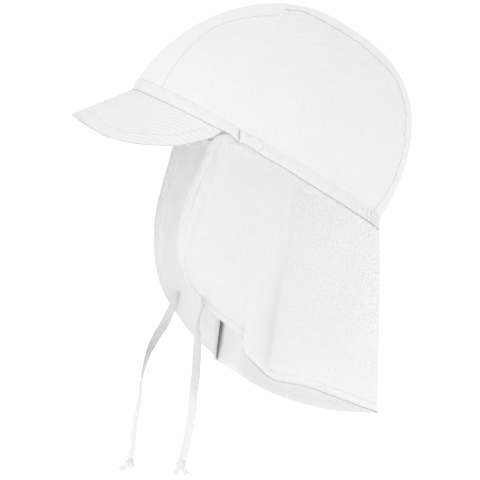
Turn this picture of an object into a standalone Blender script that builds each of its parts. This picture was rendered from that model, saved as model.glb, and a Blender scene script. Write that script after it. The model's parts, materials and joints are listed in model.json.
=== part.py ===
"""Child's legionnaire cap: three-panel crown, rim band, curved peak, neck flap and two tapes.

Metres, +Z up, the peak towards -Y and the wearer's left towards +X. The origin is the highest
point of the crown's inner face, where the cap rests on the top of a head.
"""

import math

import bmesh
import bpy
from mathutils import Matrix, Vector

# Cloth and seams
CLOTH = 0.0012
SEAM_GAP = 0.0003
HEM_WIDTH = 0.0060
HEM_CLOTH = 0.0018

# Crown: half an egg that stands on the tilted plane of the rim
RIM_HALF_LENGTH = 0.0819
RIM_HALF_WIDTH = 0.0672
CROWN_HEIGHT = 0.0944
RIM_TILT = math.radians(30.15)
FRONT_FULLNESS = 1.93
BACK_FULLNESS = 2.71
ELASTIC_PINCH = 0.0015
PINCH_REACH = 0.0065
SEAM_FLARE = 0.0034
FLARE_REACH = 0.0040

# Rim band: plain over the peak, gathered by its elastic behind
BAND_HEIGHT = 0.0072
BAND_GAP = 0.0005
BAND_GATHER = 0.0005
GATHER_COUNT = 30
PLAIN_TURN = math.radians(74.0)
GATHER_START = math.radians(8.0)

# Peak
PEAK_TURN = math.radians(65.5)
PEAK_REACH = 0.0360
PEAK_SLOPE = math.radians(21.7)
PEAK_ARCH = 0.0170
PEAK_ROUNDNESS = 0.75
PEAK_END_RISE = 6
PEAK_THICKNESS = 0.0022

# Neck flap
FLAP_TURN = math.radians(68.9)
FLAP_LENGTH = 0.1075
FLAP_HALF_WIDTH = 0.0550
FLAP_BACK = 0.0728
EDGE_BOW = 0.0146
BOW_START = 0.60
BOW_GROWTH = 1.3
SEAM_BEND = 0.0040
FOLD_AXIS = -0.0080
FOLD_START = 0.15
FOLD_GROWTH = 1.5

# Tapes
TAPE_WIDTH = 0.0055
TAPE_THICKNESS = 0.0012
TAPE_STEP = 0.0055
SEAT_GAP = 0.0007
KNOT_WIDTH = 0.0056
KNOT_HEIGHT = 0.0060
KNOT_DEPTH = 0.0048
TAIL_LENGTH = 0.0050
TAIL_WIDTH = 0.0036
TAIL_SUNK = 0.0012

# Half-width of the crown's centre strip, as a share of RIM_HALF_WIDTH
#   along: share of the way from the front of the rim over the top to the back
STRIP = (
    # along  half_width
    (0.00, 0.485),
    (0.12, 0.395),
    (0.21, 0.330),
    (0.34, 0.410),
    (0.41, 0.345),
    (0.48, 0.395),
    (0.57, 0.410),
    (0.67, 0.370),
    (0.80, 0.415),
    (0.94, 0.445),
    (1.00, 0.520),
)

# Droop of the peak's front edge on each side, as a share of PEAK_ARCH
#   across: share of the way from the middle of the peak to its end
PEAK_DROOP = (
    # across left   right
    (-0.13, 0.00, 0.04),
    (0.00, 0.00, 0.00),
    (0.13, 0.04, 0.00),
    (0.25, 0.21, 0.08),
    (0.37, 0.50, 0.29),
    (0.50, 0.76, 0.55),
    (0.62, 0.91, 0.82),
    (0.74, 0.98, 0.94),
    (0.86, 0.95, 0.95),
    (0.95, 0.79, 0.79),
    (1.00, 0.63, 0.63),
)

# Hem of the flap, by its share of the way from the middle of the back to the front corner
#   aside: share of FLAP_HALF_WIDTH, back: share of FLAP_BACK
#   left, right: depth below the back of the rim, as a share of FLAP_LENGTH
HEM = (
    # share  aside  back    left   right
    (-0.10, -0.320, 0.945, 1.012, 0.988),
    (0.00, 0.000, 0.990, 1.003, 1.003),
    (0.10, 0.320, 0.945, 0.988, 1.012),
    (0.24, 0.700, 0.735, 0.939, 1.009),
    (0.34, 0.900, 0.530, 0.886, 0.980),
    (0.45, 0.980, 0.288, 0.823, 0.921),
    (0.56, 1.000, 0.026, 0.781, 0.822),
    (0.67, 0.975, -0.170, 0.670, 0.732),
    (0.77, 0.930, -0.216, 0.553, 0.694),
    (0.88, 0.885, -0.405, 0.448, 0.579),
    (1.00, 0.820, -0.614, 0.298, 0.383),
)

# Bow of the flap's front edge off the straight line from rim to corner, as shares of EDGE_BOW
#   down: share of the way down the edge
FRONT_EDGE = (
    # down  inward left   right
    (0.00, 0.00, 0.00, 0.00),
    (0.09, 0.42, 0.58, 0.80),
    (0.18, 0.52, 0.71, 0.92),
    (0.30, 0.58, 0.88, 1.05),
    (0.43, 0.64, 0.97, 1.14),
    (0.60, 0.55, 0.98, 1.06),
    (0.77, 0.36, 0.80, 0.80),
    (0.90, 0.18, 0.43, 0.43),
    (1.00, 0.00, 0.00, 0.00),
)

# Folds that hang down the flap; depth is outward and a share of FLAP_HALF_WIDTH
#   side: 1 left, -1 right; at_rim, at_hem: share of the hem's way where the fold lies
FOLDS = (
    # side at_rim at_hem half_width top     bottom
    (1.0, 0.760, 0.665, 0.085, 0.000, 0.118),
    (1.0, 0.640, 0.530, 0.110, -0.030, -0.060),
    (1.0, 0.330, 0.300, 0.120, 0.000, 0.020),
    (-1.0, 0.760, 0.665, 0.085, 0.000, 0.110),
    (-1.0, 0.640, 0.540, 0.110, -0.020, -0.050),
    (-1.0, 0.300, 0.280, 0.120, 0.000, 0.025),
    (1.0, 0.000, 0.020, 0.120, 0.000, -0.018),
)

# Twist of each tape, in degrees from lying flat towards the side, by its share of the way down
LEFT_TWIST = (
    # down  twist
    (0.00, 19.0),
    (0.10, 20.0),
    (0.22, 45.0),
    (0.38, 15.0),
    (0.60, 5.0),
    (1.00, 15.0),
)
RIGHT_TWIST = (
    # down  twist
    (0.00, 3.0),
    (0.30, 10.0),
    (0.45, 50.0),
    (0.62, 86.0),
    (0.78, 74.0),
    (1.00, 62.0),
)

# Cut ends that stand out below each knot, in degrees forward (-) or back (+) of straight down
LEFT_TAILS = (-34.0, 32.0)
RIGHT_TAILS = (-58.0,)

# Where each tape lies sewn to the inner face of the flap, down to its hem
LEFT_TAPE_SEAT = (
    # around down
    (0.925, 0.880),
    (0.930, 0.930),
    (0.938, 0.980),
)
RIGHT_TAPE_SEAT = (
    # around down
    (-0.875, 0.795),
    (-0.903, 0.825),
    (-0.928, 0.870),
    (-0.948, 0.925),
)

# Routes of the tapes, from the flap's hem down to the knots, in metres
#   aside, back and height from the centre of the rim
LEFT_TAPE_ROUTE = (
    (0.0425, -0.0406, -0.0935),
    (0.0420, -0.0405, -0.1030),
    (0.0420, -0.0409, -0.1145),
    (0.0415, -0.0414, -0.1240),
    (0.0408, -0.0424, -0.1332),
    (0.0400, -0.0436, -0.1473),
    (0.0385, -0.0458, -0.1612),
    (0.0364, -0.0490, -0.1757),
)
RIGHT_TAPE_ROUTE = (
    (-0.0455, -0.0462, -0.0985),
    (-0.0462, -0.0508, -0.1060),
    (-0.0455, -0.0552, -0.1145),
    (-0.0445, -0.0586, -0.1240),
    (-0.0432, -0.0605, -0.1335),
    (-0.0420, -0.0617, -0.1428),
    (-0.0410, -0.0638, -0.1522),
    (-0.0400, -0.0654, -0.1616),
    (-0.0392, -0.0663, -0.1708),
    (-0.0379, -0.0679, -0.1789),
)

# Fineness of the meshes
TOP_STEPS = 800
SEAM_STEPS = 32
STRIP_COLUMNS = 6
SIDE_ROWS = 9
FIRST_ROW = 0.0040
BAND_COLUMNS = 120
BAND_EDGE_ROW = 0.0010
PEAK_ROWS, PEAK_COLUMNS = 5, 28
FLAP_ROWS, FLAP_COLUMNS = 13, 60
FLAP_FIRST_ROW = 0.02
KNOT_SEGMENTS, KNOT_RINGS = 14, 8
ROUTE_STEPS = 20
SEAT_STEP = 0.01

TO_BACK = Vector((0.0, math.cos(RIM_TILT), -math.sin(RIM_TILT)))
TO_LEFT = Vector((1.0, 0.0, 0.0))
UP_RIM = Vector((0.0, math.sin(RIM_TILT), math.cos(RIM_TILT)))


def column(table, place, number):
    """Value of one column of a table at a place in its first column, on a smooth curve."""
    places = [row[0] for row in table]
    values = [row[number] for row in table]
    last = len(places) - 1
    place = min(max(place, places[0]), places[last])
    row = max(i for i in range(last) if places[i] <= place)

    def slope(i):
        before, after = max(i - 1, 0), min(i + 1, last)
        return (values[after] - values[before]) / (places[after] - places[before])

    width = places[row + 1] - places[row]
    t = (place - places[row]) / width
    return ((2 * t**3 - 3 * t**2 + 1) * values[row] + (t**3 - 2 * t**2 + t) * width * slope(row)
            + (3 * t**2 - 2 * t**3) * values[row + 1] + (t**3 - t**2) * width * slope(row + 1))


def fullness(turn):
    """Exponent of the crown's profile at a turn round the rim, 0 in front and pi behind."""
    return FRONT_FULLNESS + (BACK_FULLNESS - FRONT_FULLNESS) * (1 - math.cos(turn)) / 2


def from_rim_centre(direction, proud=0.0):
    """Point of the crown's inner face in a direction (back, left, up) of the unit sphere."""
    back, left, up = direction
    turn = math.atan2(left, -back)
    power = 2 / fullness(turn)
    spread = math.hypot(back, left) ** power
    height = max(up, 0.0) ** power
    behind = (1 - math.cos(turn)) / 2
    above_band = (height * CROWN_HEIGHT - BAND_HEIGHT) / PINCH_REACH
    pinch = ELASTIC_PINCH * behind**2 * math.exp(-above_band**2)
    pinch -= SEAM_FLARE * behind**4 * math.exp(-height * CROWN_HEIGHT / FLARE_REACH)
    return (-math.cos(turn) * spread * (RIM_HALF_LENGTH + proud - pinch) * TO_BACK
            + math.sin(turn) * spread * (RIM_HALF_WIDTH + proud) * TO_LEFT
            + height * (CROWN_HEIGHT + proud) * UP_RIM)


def over_the_top(along, across=0.0):
    """Direction at a share of the way over the crown, across being the share of the width."""
    ring = math.sqrt(1 - across**2)
    return (-ring * math.cos(math.pi * along), across, ring * math.sin(math.pi * along))


HEAD_TOP = max((from_rim_centre(over_the_top(step / TOP_STEPS)) for step in range(TOP_STEPS)),
               key=lambda point: point.z)


def crown(direction, proud=0.0):
    """Point of the crown in the part's own frame."""
    return from_rim_centre(direction, proud) - HEAD_TOP


def at_height(turn, height):
    """Direction of the crown's wall at a turn round the rim and a height above its plane."""
    lift = math.asin((height / CROWN_HEIGHT) ** (fullness(turn) / 2))
    return (-math.cos(lift) * math.cos(turn), math.cos(lift) * math.sin(turn), math.sin(lift))


def rim(turn, below=0.0, proud=0.0):
    """Point of the rim, or of the line that runs a little below it."""
    return crown((-math.cos(turn), math.sin(turn), 0.0), proud) - below * UP_RIM


def between(start, end, share):
    """Direction on the shortest arc between two directions."""
    start, end = Vector(start), Vector(end)
    angle = start.angle(end)
    if angle < 1e-6:
        return start
    return (math.sin((1 - share) * angle) * start + math.sin(share * angle) * end) / math.sin(angle)


def cloth_material(name, shade, roughness):
    """White cotton, a shade for each piece."""
    material = bpy.data.materials.new(name)
    material.use_nodes = True
    shader = material.node_tree.nodes["Principled BSDF"]
    shader.inputs["Base Color"].default_value = (shade, shade, shade * 0.99, 1.0)
    shader.inputs["Roughness"].default_value = roughness
    shader.inputs["Metallic"].default_value = 0.0
    return material


def add_object(name, data, collection, shade, roughness=0.9):
    """Object with its own material, in the cap's collection."""
    piece = bpy.data.objects.new(name, data)
    data.materials.append(cloth_material(name + "_cotton", shade, roughness))
    collection.objects.link(piece)
    return piece


def sewn_sheet(name, collection, places, wall, shade):
    """Cloth panel: a grid laid over rows of points, with its wall on the side it faces."""
    columns, rows = len(places[0]) - 1, len(places) - 1
    mesh = bpy.data.meshes.new(name)
    sheet = bmesh.new()
    bmesh.ops.create_grid(sheet, x_segments=columns, y_segments=rows, size=0.5)
    for corner in sheet.verts:
        across = round((corner.co.x + 0.5) * columns)
        along = round((corner.co.y + 0.5) * rows)
        corner.co = places[along][across]
    bmesh.ops.remove_doubles(sheet, verts=sheet.verts, dist=0.00001)
    sheet.to_mesh(mesh)
    sheet.free()
    mesh.shade_smooth()
    panel = add_object(name, mesh, collection, shade)
    thickness = panel.modifiers.new("Cloth wall", "SOLIDIFY")
    thickness.thickness = wall
    thickness.offset = 1.0
    return panel


def shares(count):
    """Even shares from 0 to 1."""
    return [i / count for i in range(count + 1)]


def seam_shares():
    """Shares of the way along a crown seam, with a short step next to the band at each end."""
    first = FIRST_ROW / (math.pi * CROWN_HEIGHT)
    return [0.0] + [first + (1 - 2 * first) * step for step in shares(SEAM_STEPS - 2)] + [1.0]


def side_shares():
    """Shares of the way up a crown side, with a short step next to the band."""
    first = FIRST_ROW / CROWN_HEIGHT
    return [0.0] + [first + (1 - first) * step for step in shares(SIDE_ROWS - 1)]


def strip_edge(along, side, clearance):
    """Direction on the seam between the centre strip and a side panel."""
    half_width = column(STRIP, along, 1) + clearance / RIM_HALF_WIDTH
    return over_the_top(along, side * half_width)


def strip_end(end, across):
    """Share of the way over the top at which the strip meets the band."""
    aside = across * column(STRIP, end, 1)
    turn = math.asin(aside) if end < 0.5 else math.pi - math.asin(aside)
    lift = ((BAND_HEIGHT + BAND_GAP) / CROWN_HEIGHT) ** (fullness(turn) / 2)
    along = math.asin(lift / math.sqrt(1 - aside**2)) / math.pi
    return along if end < 0.5 else 1 - along


def make_centre_strip(collection):
    """Crown strip from the forehead over the top to the nape."""
    places = []
    for row in seam_shares():
        line = []
        for step in shares(STRIP_COLUMNS):
            across = 2 * step - 1
            start, end = strip_end(0.0, across), strip_end(1.0, across)
            along = start + (end - start) * row
            half_width = column(STRIP, along, 1) - SEAM_GAP / 2 / RIM_HALF_WIDTH
            line.append(crown(over_the_top(along, across * half_width)))
        places.append(line)
    return sewn_sheet("crown_center_panel", collection, places, CLOTH, 0.87)


def make_side_panel(name, side, collection):
    """Crown side: from the seam of the strip down to the band."""
    start, end = strip_end(0.0, 1.0), strip_end(1.0, 1.0)
    front = strip_edge(start, 1.0, SEAM_GAP / 2)
    behind = strip_edge(end, 1.0, SEAM_GAP / 2)
    first_turn = math.atan2(front[1], -front[0])
    last_turn = math.atan2(behind[1], -behind[0])
    places = []
    for row in side_shares():
        line = []
        for step in seam_shares():
            along = step if side > 0 else 1 - step
            turn = first_turn + (last_turn - first_turn) * along
            low = at_height(turn, BAND_HEIGHT + BAND_GAP)
            high = strip_edge(start + (end - start) * along, 1.0, SEAM_GAP / 2)
            back, left, up = between(low, high, row)
            line.append(crown((back, side * left, up)))
        places.append(line)
    return sewn_sheet(name, collection, places, CLOTH, 0.86)


def gather(turn):
    """Ripple of the elastic part of the band."""
    past = abs(math.remainder(turn, 2 * math.pi)) - PLAIN_TURN
    if past <= 0:
        return 0.0
    rise = min(1.0, past / GATHER_START)
    return BAND_GATHER * rise * (1 - math.cos(2 * math.pi * GATHER_COUNT * past / math.pi)) / 2


def make_band(collection):
    """Casing along the rim, a closed ring."""
    places = []
    turns = [2 * math.pi * step for step in shares(BAND_COLUMNS)]
    for height in (0.0, BAND_HEIGHT / 2, BAND_HEIGHT - BAND_EDGE_ROW, BAND_HEIGHT):
        places.append([crown(at_height(turn, height), gather(turn)) for turn in turns])
    return sewn_sheet("rim_band", collection, places, CLOTH, 0.85)


def peak_point(across, ahead):
    """Point of the peak's upper face: across from -1 right to 1 left, ahead from 0 to 1."""
    rear = rim(PEAK_TURN * across, SEAM_GAP, CLOTH)
    nose = rim(0.0, SEAM_GAP, CLOTH)
    end = rim(PEAK_TURN, SEAM_GAP, CLOTH)
    out = max(math.cos(math.pi / 2 * across), 0.0) ** PEAK_ROUNDNESS
    droop = column(PEAK_DROOP, abs(across), 1 if across > 0 else 2)
    front_y = end.y + (nose.y - PEAK_REACH - end.y) * out
    front_z = nose.z - PEAK_REACH * math.tan(PEAK_SLOPE) - PEAK_ARCH * droop
    front = Vector((rear.x, front_y, front_z + (end.z - front_z) * (1 - out) ** PEAK_END_RISE))
    return rear.lerp(front, ahead)


def make_peak(collection):
    """Stiffened peak under the front of the band."""
    places = [[peak_point(2 * step - 1, row) for step in shares(PEAK_COLUMNS)]
              for row in shares(PEAK_ROWS)]
    return sewn_sheet("peak", collection, places, PEAK_THICKNESS, 0.87)


def hem_point(around):
    """Point of the flap's hem before its folds: around from -1 right to 1 left."""
    side = 1 if around > 0 else -1
    share = abs(around)
    depth = column(HEM, share, 3 if side > 0 else 4)
    return Vector((side * FLAP_HALF_WIDTH * column(HEM, share, 1),
                   FLAP_BACK * column(HEM, share, 2) - HEAD_TOP.y,
                   rim(math.pi).z - FLAP_LENGTH * depth))


def hanging_cloth(around, down):
    """Point of the flap before its folds."""
    top = rim(math.pi - (math.pi - FLAP_TURN) * around, SEAM_GAP)
    fall = hem_point(around) - top
    point = top + fall * down
    run = fall.length * down
    point += run * math.exp(-run / SEAM_BEND) * (-UP_RIM - fall.normalized())
    bow = EDGE_BOW * (max(abs(around) - BOW_START, 0.0) / (1 - BOW_START)) ** BOW_GROWTH
    side = 1 if around > 0 else -1
    point.x -= side * bow * column(FRONT_EDGE, down, 1)
    point.y -= bow * column(FRONT_EDGE, down, 2 if side > 0 else 3)
    return point


def flap_point(around, down):
    """Point of the flap's inner face with its folds."""
    point = hanging_cloth(around, down)
    outward = Vector((point.x, point.y + HEAD_TOP.y - FOLD_AXIS, 0.0)).normalized()
    for side, at_rim, at_hem, half_width, top, bottom in FOLDS:
        off = (side * around - at_rim - (at_hem - at_rim) * down) / half_width
        if abs(off) < 1:
            depth = (top + (bottom - top) * down**FOLD_GROWTH) * min(down / FOLD_START, 1.0)
            point += outward * FLAP_HALF_WIDTH * depth * math.cos(math.pi / 2 * off) ** 2
    return point


def make_flap(collection):
    """Neck flap from one end of the peak round the nape to the other, thicker along its hem."""
    hem_share = HEM_WIDTH / FLAP_LENGTH
    hang = 1 - FLAP_FIRST_ROW - hem_share
    rows = [0.0] + [FLAP_FIRST_ROW + hang * row for row in shares(FLAP_ROWS - 2)] + [1.0]
    side_share = HEM_WIDTH / (math.pi * FLAP_BACK)
    columns = [-1.0] + [(1 - side_share) * (2 * step - 1) for step in shares(FLAP_COLUMNS - 2)] + [1.0]
    places = [[flap_point(around, down) for around in columns] for down in rows]
    flap = sewn_sheet("neck_flap", collection, places, HEM_CLOTH, 0.86)
    hem = flap.vertex_groups.new(name="hem")
    lowest_row = {tuple(round(n, 5) for n in point) for point in places[-1]}
    for corner in flap.data.vertices:
        place = tuple(round(n, 5) for n in corner.co)
        on_hem = place in lowest_row
        hem.add([corner.index], 1.0 if on_hem else 0.0, "REPLACE")
    wall = flap.modifiers["Cloth wall"]
    wall.vertex_group = "hem"
    wall.thickness_vertex_group = CLOTH / HEM_CLOTH
    return flap


def smooth_route(stops, step):
    """Evenly spaced points on a smooth curve through a route's stops."""
    fine = []
    for i in range(len(stops) - 1):
        before, start = stops[max(i - 1, 0)], stops[i]
        end, after = stops[i + 1], stops[min(i + 2, len(stops) - 1)]
        for t in shares(ROUTE_STEPS)[:-1]:
            fine.append(0.5 * (2 * start + (end - before) * t
                               + (2 * before - 5 * start + 4 * end - after) * t**2
                               + (3 * start - before - 3 * end + after) * t**3))
    fine.append(stops[-1])
    length = sum((b - a).length for a, b in zip(fine, fine[1:]))
    count = round(length / step)
    points, walked, target = [fine[0]], 0.0, length / count
    for a, b in zip(fine, fine[1:]):
        walked += (b - a).length
        if walked >= target - 1e-9 and len(points) < count:
            points.append(b)
            target += length / count
    points.append(fine[-1])
    return points


def in_part_frame(route):
    """Route's stops in the part's own frame."""
    return [Vector(stop) - HEAD_TOP for stop in route]


def on_flap_lining(around, down):
    """Middle of a tape that lies on the flap's inner face."""
    inner = flap_point(around, down)
    along_hem = flap_point(around + SEAT_STEP, down) - flap_point(around - SEAT_STEP, down)
    down_flap = flap_point(around, down + SEAT_STEP) - flap_point(around, down - SEAT_STEP)
    return inner - along_hem.cross(down_flap).normalized() * (TAPE_THICKNESS / 2 + SEAT_GAP)


def make_knot(name, route, tails, collection, guides):
    """Overhand knot at the foot of a tape: a lump with the cut ends standing out below it."""
    stops = in_part_frame(route)
    down = (stops[-1] - stops[-2]).normalized()
    centre = stops[-1] + down * (KNOT_HEIGHT / 2 + SEAM_GAP)
    depth = (TO_LEFT - TO_LEFT.dot(down) * down).normalized()
    upright = Matrix((depth, depth.cross(down), -down)).transposed()
    mesh = bpy.data.meshes.new(name)
    lump = bmesh.new()
    bmesh.ops.create_uvsphere(lump, u_segments=KNOT_SEGMENTS, v_segments=KNOT_RINGS, radius=0.5)
    bmesh.ops.scale(lump, vec=(KNOT_DEPTH, KNOT_WIDTH, KNOT_HEIGHT), verts=lump.verts)
    lump.to_mesh(mesh)
    lump.free()
    mesh.shade_smooth()
    knot = add_object(name, mesh, collection, 0.84)
    knot.location = centre
    knot.rotation_euler = upright.to_euler()
    for number, lean in enumerate(tails):
        tail_mesh = bpy.data.meshes.new(f"{name}_tail_{number}")
        box = bmesh.new()
        bmesh.ops.create_cube(box, size=1.0)
        bmesh.ops.scale(box, vec=(TAPE_THICKNESS, TAIL_WIDTH, TAIL_LENGTH), verts=box.verts)
        box.to_mesh(tail_mesh)
        box.free()
        tail = bpy.data.objects.new(f"{name}_tail_{number}", tail_mesh)
        tail.rotation_euler = (math.radians(lean), 0.0, 0.0)
        hang = Matrix.Rotation(math.radians(lean), 3, "X") @ Vector((0.0, 0.0, -1.0))
        tail.location = centre + hang * (KNOT_HEIGHT / 2 + TAIL_LENGTH / 2 - TAIL_SUNK)
        tail.hide_render = True
        tail.display_type = "WIRE"
        guides.objects.link(tail)
        join = knot.modifiers.new(tail.name, "BOOLEAN")
        join.operation = "UNION"
        join.object = tail
    return knot


def make_tape(name, seat, route, twists, collection):
    """Flat cotton tape: a ribbon curve with rounded edges, sewn inside the flap and hanging free."""
    sewn = [on_flap_lining(around, down) for around, down in seat]
    points = smooth_route(sewn + in_part_frame(route), TAPE_STEP)
    curve = bpy.data.curves.new(name, "CURVE")
    curve.dimensions = "3D"
    curve.twist_mode = "MINIMUM"
    curve.extrude = (TAPE_WIDTH - TAPE_THICKNESS) / 2
    curve.bevel_depth = TAPE_THICKNESS / 2
    curve.bevel_resolution = 2
    curve.use_fill_caps = True
    spline = curve.splines.new("POLY")
    spline.points.add(len(points) - 1)
    for i, point in enumerate(points):
        spline.points[i].co = (*point, 1.0)
        spline.points[i].tilt = math.radians(column(twists, i / (len(points) - 1), 1))
    return add_object(name, curve, collection, 0.85)


def main():
    for item in list(bpy.data.objects):
        bpy.data.objects.remove(item)
    collection = bpy.data.collections.new("legionnaire_cap")
    guides = bpy.data.collections.new("knot_tails")
    bpy.context.scene.collection.children.link(collection)
    bpy.context.scene.collection.children.link(guides)
    make_centre_strip(collection)
    make_side_panel("crown_side_left", 1.0, collection)
    make_side_panel("crown_side_right", -1.0, collection)
    make_band(collection)
    make_peak(collection)
    make_flap(collection)
    make_tape("tie_left", LEFT_TAPE_SEAT, LEFT_TAPE_ROUTE, LEFT_TWIST, collection)
    make_tape("tie_right", RIGHT_TAPE_SEAT, RIGHT_TAPE_ROUTE, RIGHT_TWIST, collection)
    make_knot("tie_knot_left", LEFT_TAPE_ROUTE, LEFT_TAILS, collection, guides)
    make_knot("tie_knot_right", RIGHT_TAPE_ROUTE, RIGHT_TAILS, collection, guides)


main()
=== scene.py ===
"""Looks of a child's cotton legionnaire cap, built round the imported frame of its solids.

Metres, +Z up, the peak towards -Y and the wearer's left towards +X.
"""

import json
import math

import bpy
import numpy as np
from mathutils import Vector, noise
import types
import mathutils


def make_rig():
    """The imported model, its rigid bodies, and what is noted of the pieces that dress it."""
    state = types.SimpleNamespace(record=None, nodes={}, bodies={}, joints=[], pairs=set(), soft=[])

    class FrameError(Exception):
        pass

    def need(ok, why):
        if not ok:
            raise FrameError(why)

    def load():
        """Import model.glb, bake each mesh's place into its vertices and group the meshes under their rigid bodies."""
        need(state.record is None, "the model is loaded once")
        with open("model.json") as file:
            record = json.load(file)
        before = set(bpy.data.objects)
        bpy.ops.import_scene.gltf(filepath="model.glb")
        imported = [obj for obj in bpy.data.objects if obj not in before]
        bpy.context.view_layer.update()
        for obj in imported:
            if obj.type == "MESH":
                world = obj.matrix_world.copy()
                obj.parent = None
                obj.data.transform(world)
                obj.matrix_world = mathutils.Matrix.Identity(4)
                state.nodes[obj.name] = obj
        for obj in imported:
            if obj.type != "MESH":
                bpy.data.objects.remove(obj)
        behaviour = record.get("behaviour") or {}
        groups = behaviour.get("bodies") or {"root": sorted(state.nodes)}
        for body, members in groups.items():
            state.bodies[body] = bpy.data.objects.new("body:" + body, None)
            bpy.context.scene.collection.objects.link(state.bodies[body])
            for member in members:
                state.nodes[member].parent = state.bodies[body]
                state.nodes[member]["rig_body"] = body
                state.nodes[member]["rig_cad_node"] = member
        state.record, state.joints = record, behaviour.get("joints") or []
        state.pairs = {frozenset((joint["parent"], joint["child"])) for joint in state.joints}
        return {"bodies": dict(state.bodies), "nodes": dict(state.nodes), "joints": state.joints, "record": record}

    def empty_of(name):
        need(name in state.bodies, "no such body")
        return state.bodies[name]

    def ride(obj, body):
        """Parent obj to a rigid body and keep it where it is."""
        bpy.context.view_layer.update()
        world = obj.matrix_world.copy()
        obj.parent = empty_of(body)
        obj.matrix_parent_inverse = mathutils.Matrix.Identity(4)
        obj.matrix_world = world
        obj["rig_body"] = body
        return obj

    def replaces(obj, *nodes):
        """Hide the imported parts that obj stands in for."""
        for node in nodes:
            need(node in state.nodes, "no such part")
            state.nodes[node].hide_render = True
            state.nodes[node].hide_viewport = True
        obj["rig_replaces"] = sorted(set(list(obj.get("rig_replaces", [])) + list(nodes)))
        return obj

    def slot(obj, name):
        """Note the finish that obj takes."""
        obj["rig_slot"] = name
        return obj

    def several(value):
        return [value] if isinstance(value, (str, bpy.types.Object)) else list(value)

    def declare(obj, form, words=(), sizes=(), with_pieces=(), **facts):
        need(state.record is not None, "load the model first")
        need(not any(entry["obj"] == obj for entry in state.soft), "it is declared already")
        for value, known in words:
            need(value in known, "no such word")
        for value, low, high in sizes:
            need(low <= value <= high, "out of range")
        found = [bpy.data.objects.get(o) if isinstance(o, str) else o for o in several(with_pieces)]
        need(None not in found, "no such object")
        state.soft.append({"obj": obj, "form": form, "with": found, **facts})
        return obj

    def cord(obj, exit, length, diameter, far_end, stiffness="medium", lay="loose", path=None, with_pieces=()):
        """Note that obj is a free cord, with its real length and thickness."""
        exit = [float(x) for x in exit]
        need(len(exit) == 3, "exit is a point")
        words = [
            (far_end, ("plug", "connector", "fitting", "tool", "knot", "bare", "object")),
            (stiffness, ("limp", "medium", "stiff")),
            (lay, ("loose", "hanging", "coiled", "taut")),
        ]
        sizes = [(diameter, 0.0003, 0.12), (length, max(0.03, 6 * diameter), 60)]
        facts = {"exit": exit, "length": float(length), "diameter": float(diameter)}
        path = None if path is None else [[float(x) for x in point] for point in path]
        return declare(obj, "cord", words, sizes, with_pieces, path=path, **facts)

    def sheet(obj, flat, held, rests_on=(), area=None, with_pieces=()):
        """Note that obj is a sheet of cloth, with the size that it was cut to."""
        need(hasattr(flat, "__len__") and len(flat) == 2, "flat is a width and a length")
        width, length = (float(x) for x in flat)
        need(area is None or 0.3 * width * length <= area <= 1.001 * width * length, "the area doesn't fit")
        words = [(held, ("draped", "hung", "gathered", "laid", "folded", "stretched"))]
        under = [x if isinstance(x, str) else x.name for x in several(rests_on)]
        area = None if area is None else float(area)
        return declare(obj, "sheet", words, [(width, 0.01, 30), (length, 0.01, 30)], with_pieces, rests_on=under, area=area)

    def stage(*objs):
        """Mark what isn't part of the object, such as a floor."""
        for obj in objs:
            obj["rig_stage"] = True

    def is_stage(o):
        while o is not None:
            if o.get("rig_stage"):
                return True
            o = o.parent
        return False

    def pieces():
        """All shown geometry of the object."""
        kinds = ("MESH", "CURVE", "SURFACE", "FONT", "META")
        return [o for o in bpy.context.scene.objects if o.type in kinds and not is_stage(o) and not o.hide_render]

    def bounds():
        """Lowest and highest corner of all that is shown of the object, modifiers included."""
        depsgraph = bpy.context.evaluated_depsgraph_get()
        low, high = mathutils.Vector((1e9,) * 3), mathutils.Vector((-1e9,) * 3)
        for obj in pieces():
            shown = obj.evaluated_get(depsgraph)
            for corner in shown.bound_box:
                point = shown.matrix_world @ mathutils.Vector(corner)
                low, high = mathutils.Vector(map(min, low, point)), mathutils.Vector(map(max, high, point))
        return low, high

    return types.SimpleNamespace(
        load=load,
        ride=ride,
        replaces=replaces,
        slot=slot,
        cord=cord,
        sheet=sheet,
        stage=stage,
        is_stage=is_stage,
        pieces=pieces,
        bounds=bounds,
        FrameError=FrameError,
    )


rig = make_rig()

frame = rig.load()
cad_box = [list(corner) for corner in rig.bounds()]


# Camera, light and floor. The camera stands beside the cap, a little ahead of its left side and
# just above it, far off with a long lens. The floor lies well below the hanging cap.
CAMERA_AHEAD = math.radians(9.5)
CAMERA_LIFT = math.radians(2.0)
CAMERA_DISTANCE = 4.0
CAMERA_LENS = 510.0
AIM_AHEAD = 0.00818
AIM_BELOW = 0.04753
FLOOR_HEIGHT = -0.60
FLOOR_SIZE = 60.0
# Strength of the white sky and of the floor, as light on the cap and as the camera sees them
SKY_LIGHT = 0.89
SKY_SEEN = 1.05
FLOOR_LIGHT = 0.21
FLOOR_SEEN = 1.0
SOFTBOX_DISTANCE = 1.7
# Softboxes: size, power and the way to each, towards the camera, to picture right and up
SOFTBOXES = (
    ("softbox_front", 1.0, 1.4, (1.0, -0.30, 0.45)),
    ("softbox_left", 1.0, 2.0, (0.50, -1.00, 0.20)),
    ("softbox_behind", 1.2, 1.8, (-0.62, 0.32, 0.72)),
)

mounts = {mount["name"]: mount for mount in frame["record"]["mounts"]}
RIM_CENTRE = Vector(mounts["head_opening"]["pos_m"])
to_camera = Vector((math.cos(CAMERA_AHEAD) * math.cos(CAMERA_LIFT),
                    -math.sin(CAMERA_AHEAD) * math.cos(CAMERA_LIFT), math.sin(CAMERA_LIFT)))
picture_right = Vector((math.sin(CAMERA_AHEAD), math.cos(CAMERA_AHEAD), 0.0))
picture_up = to_camera.cross(picture_right)
aim = RIM_CENTRE - AIM_AHEAD * picture_right - AIM_BELOW * picture_up

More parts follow.
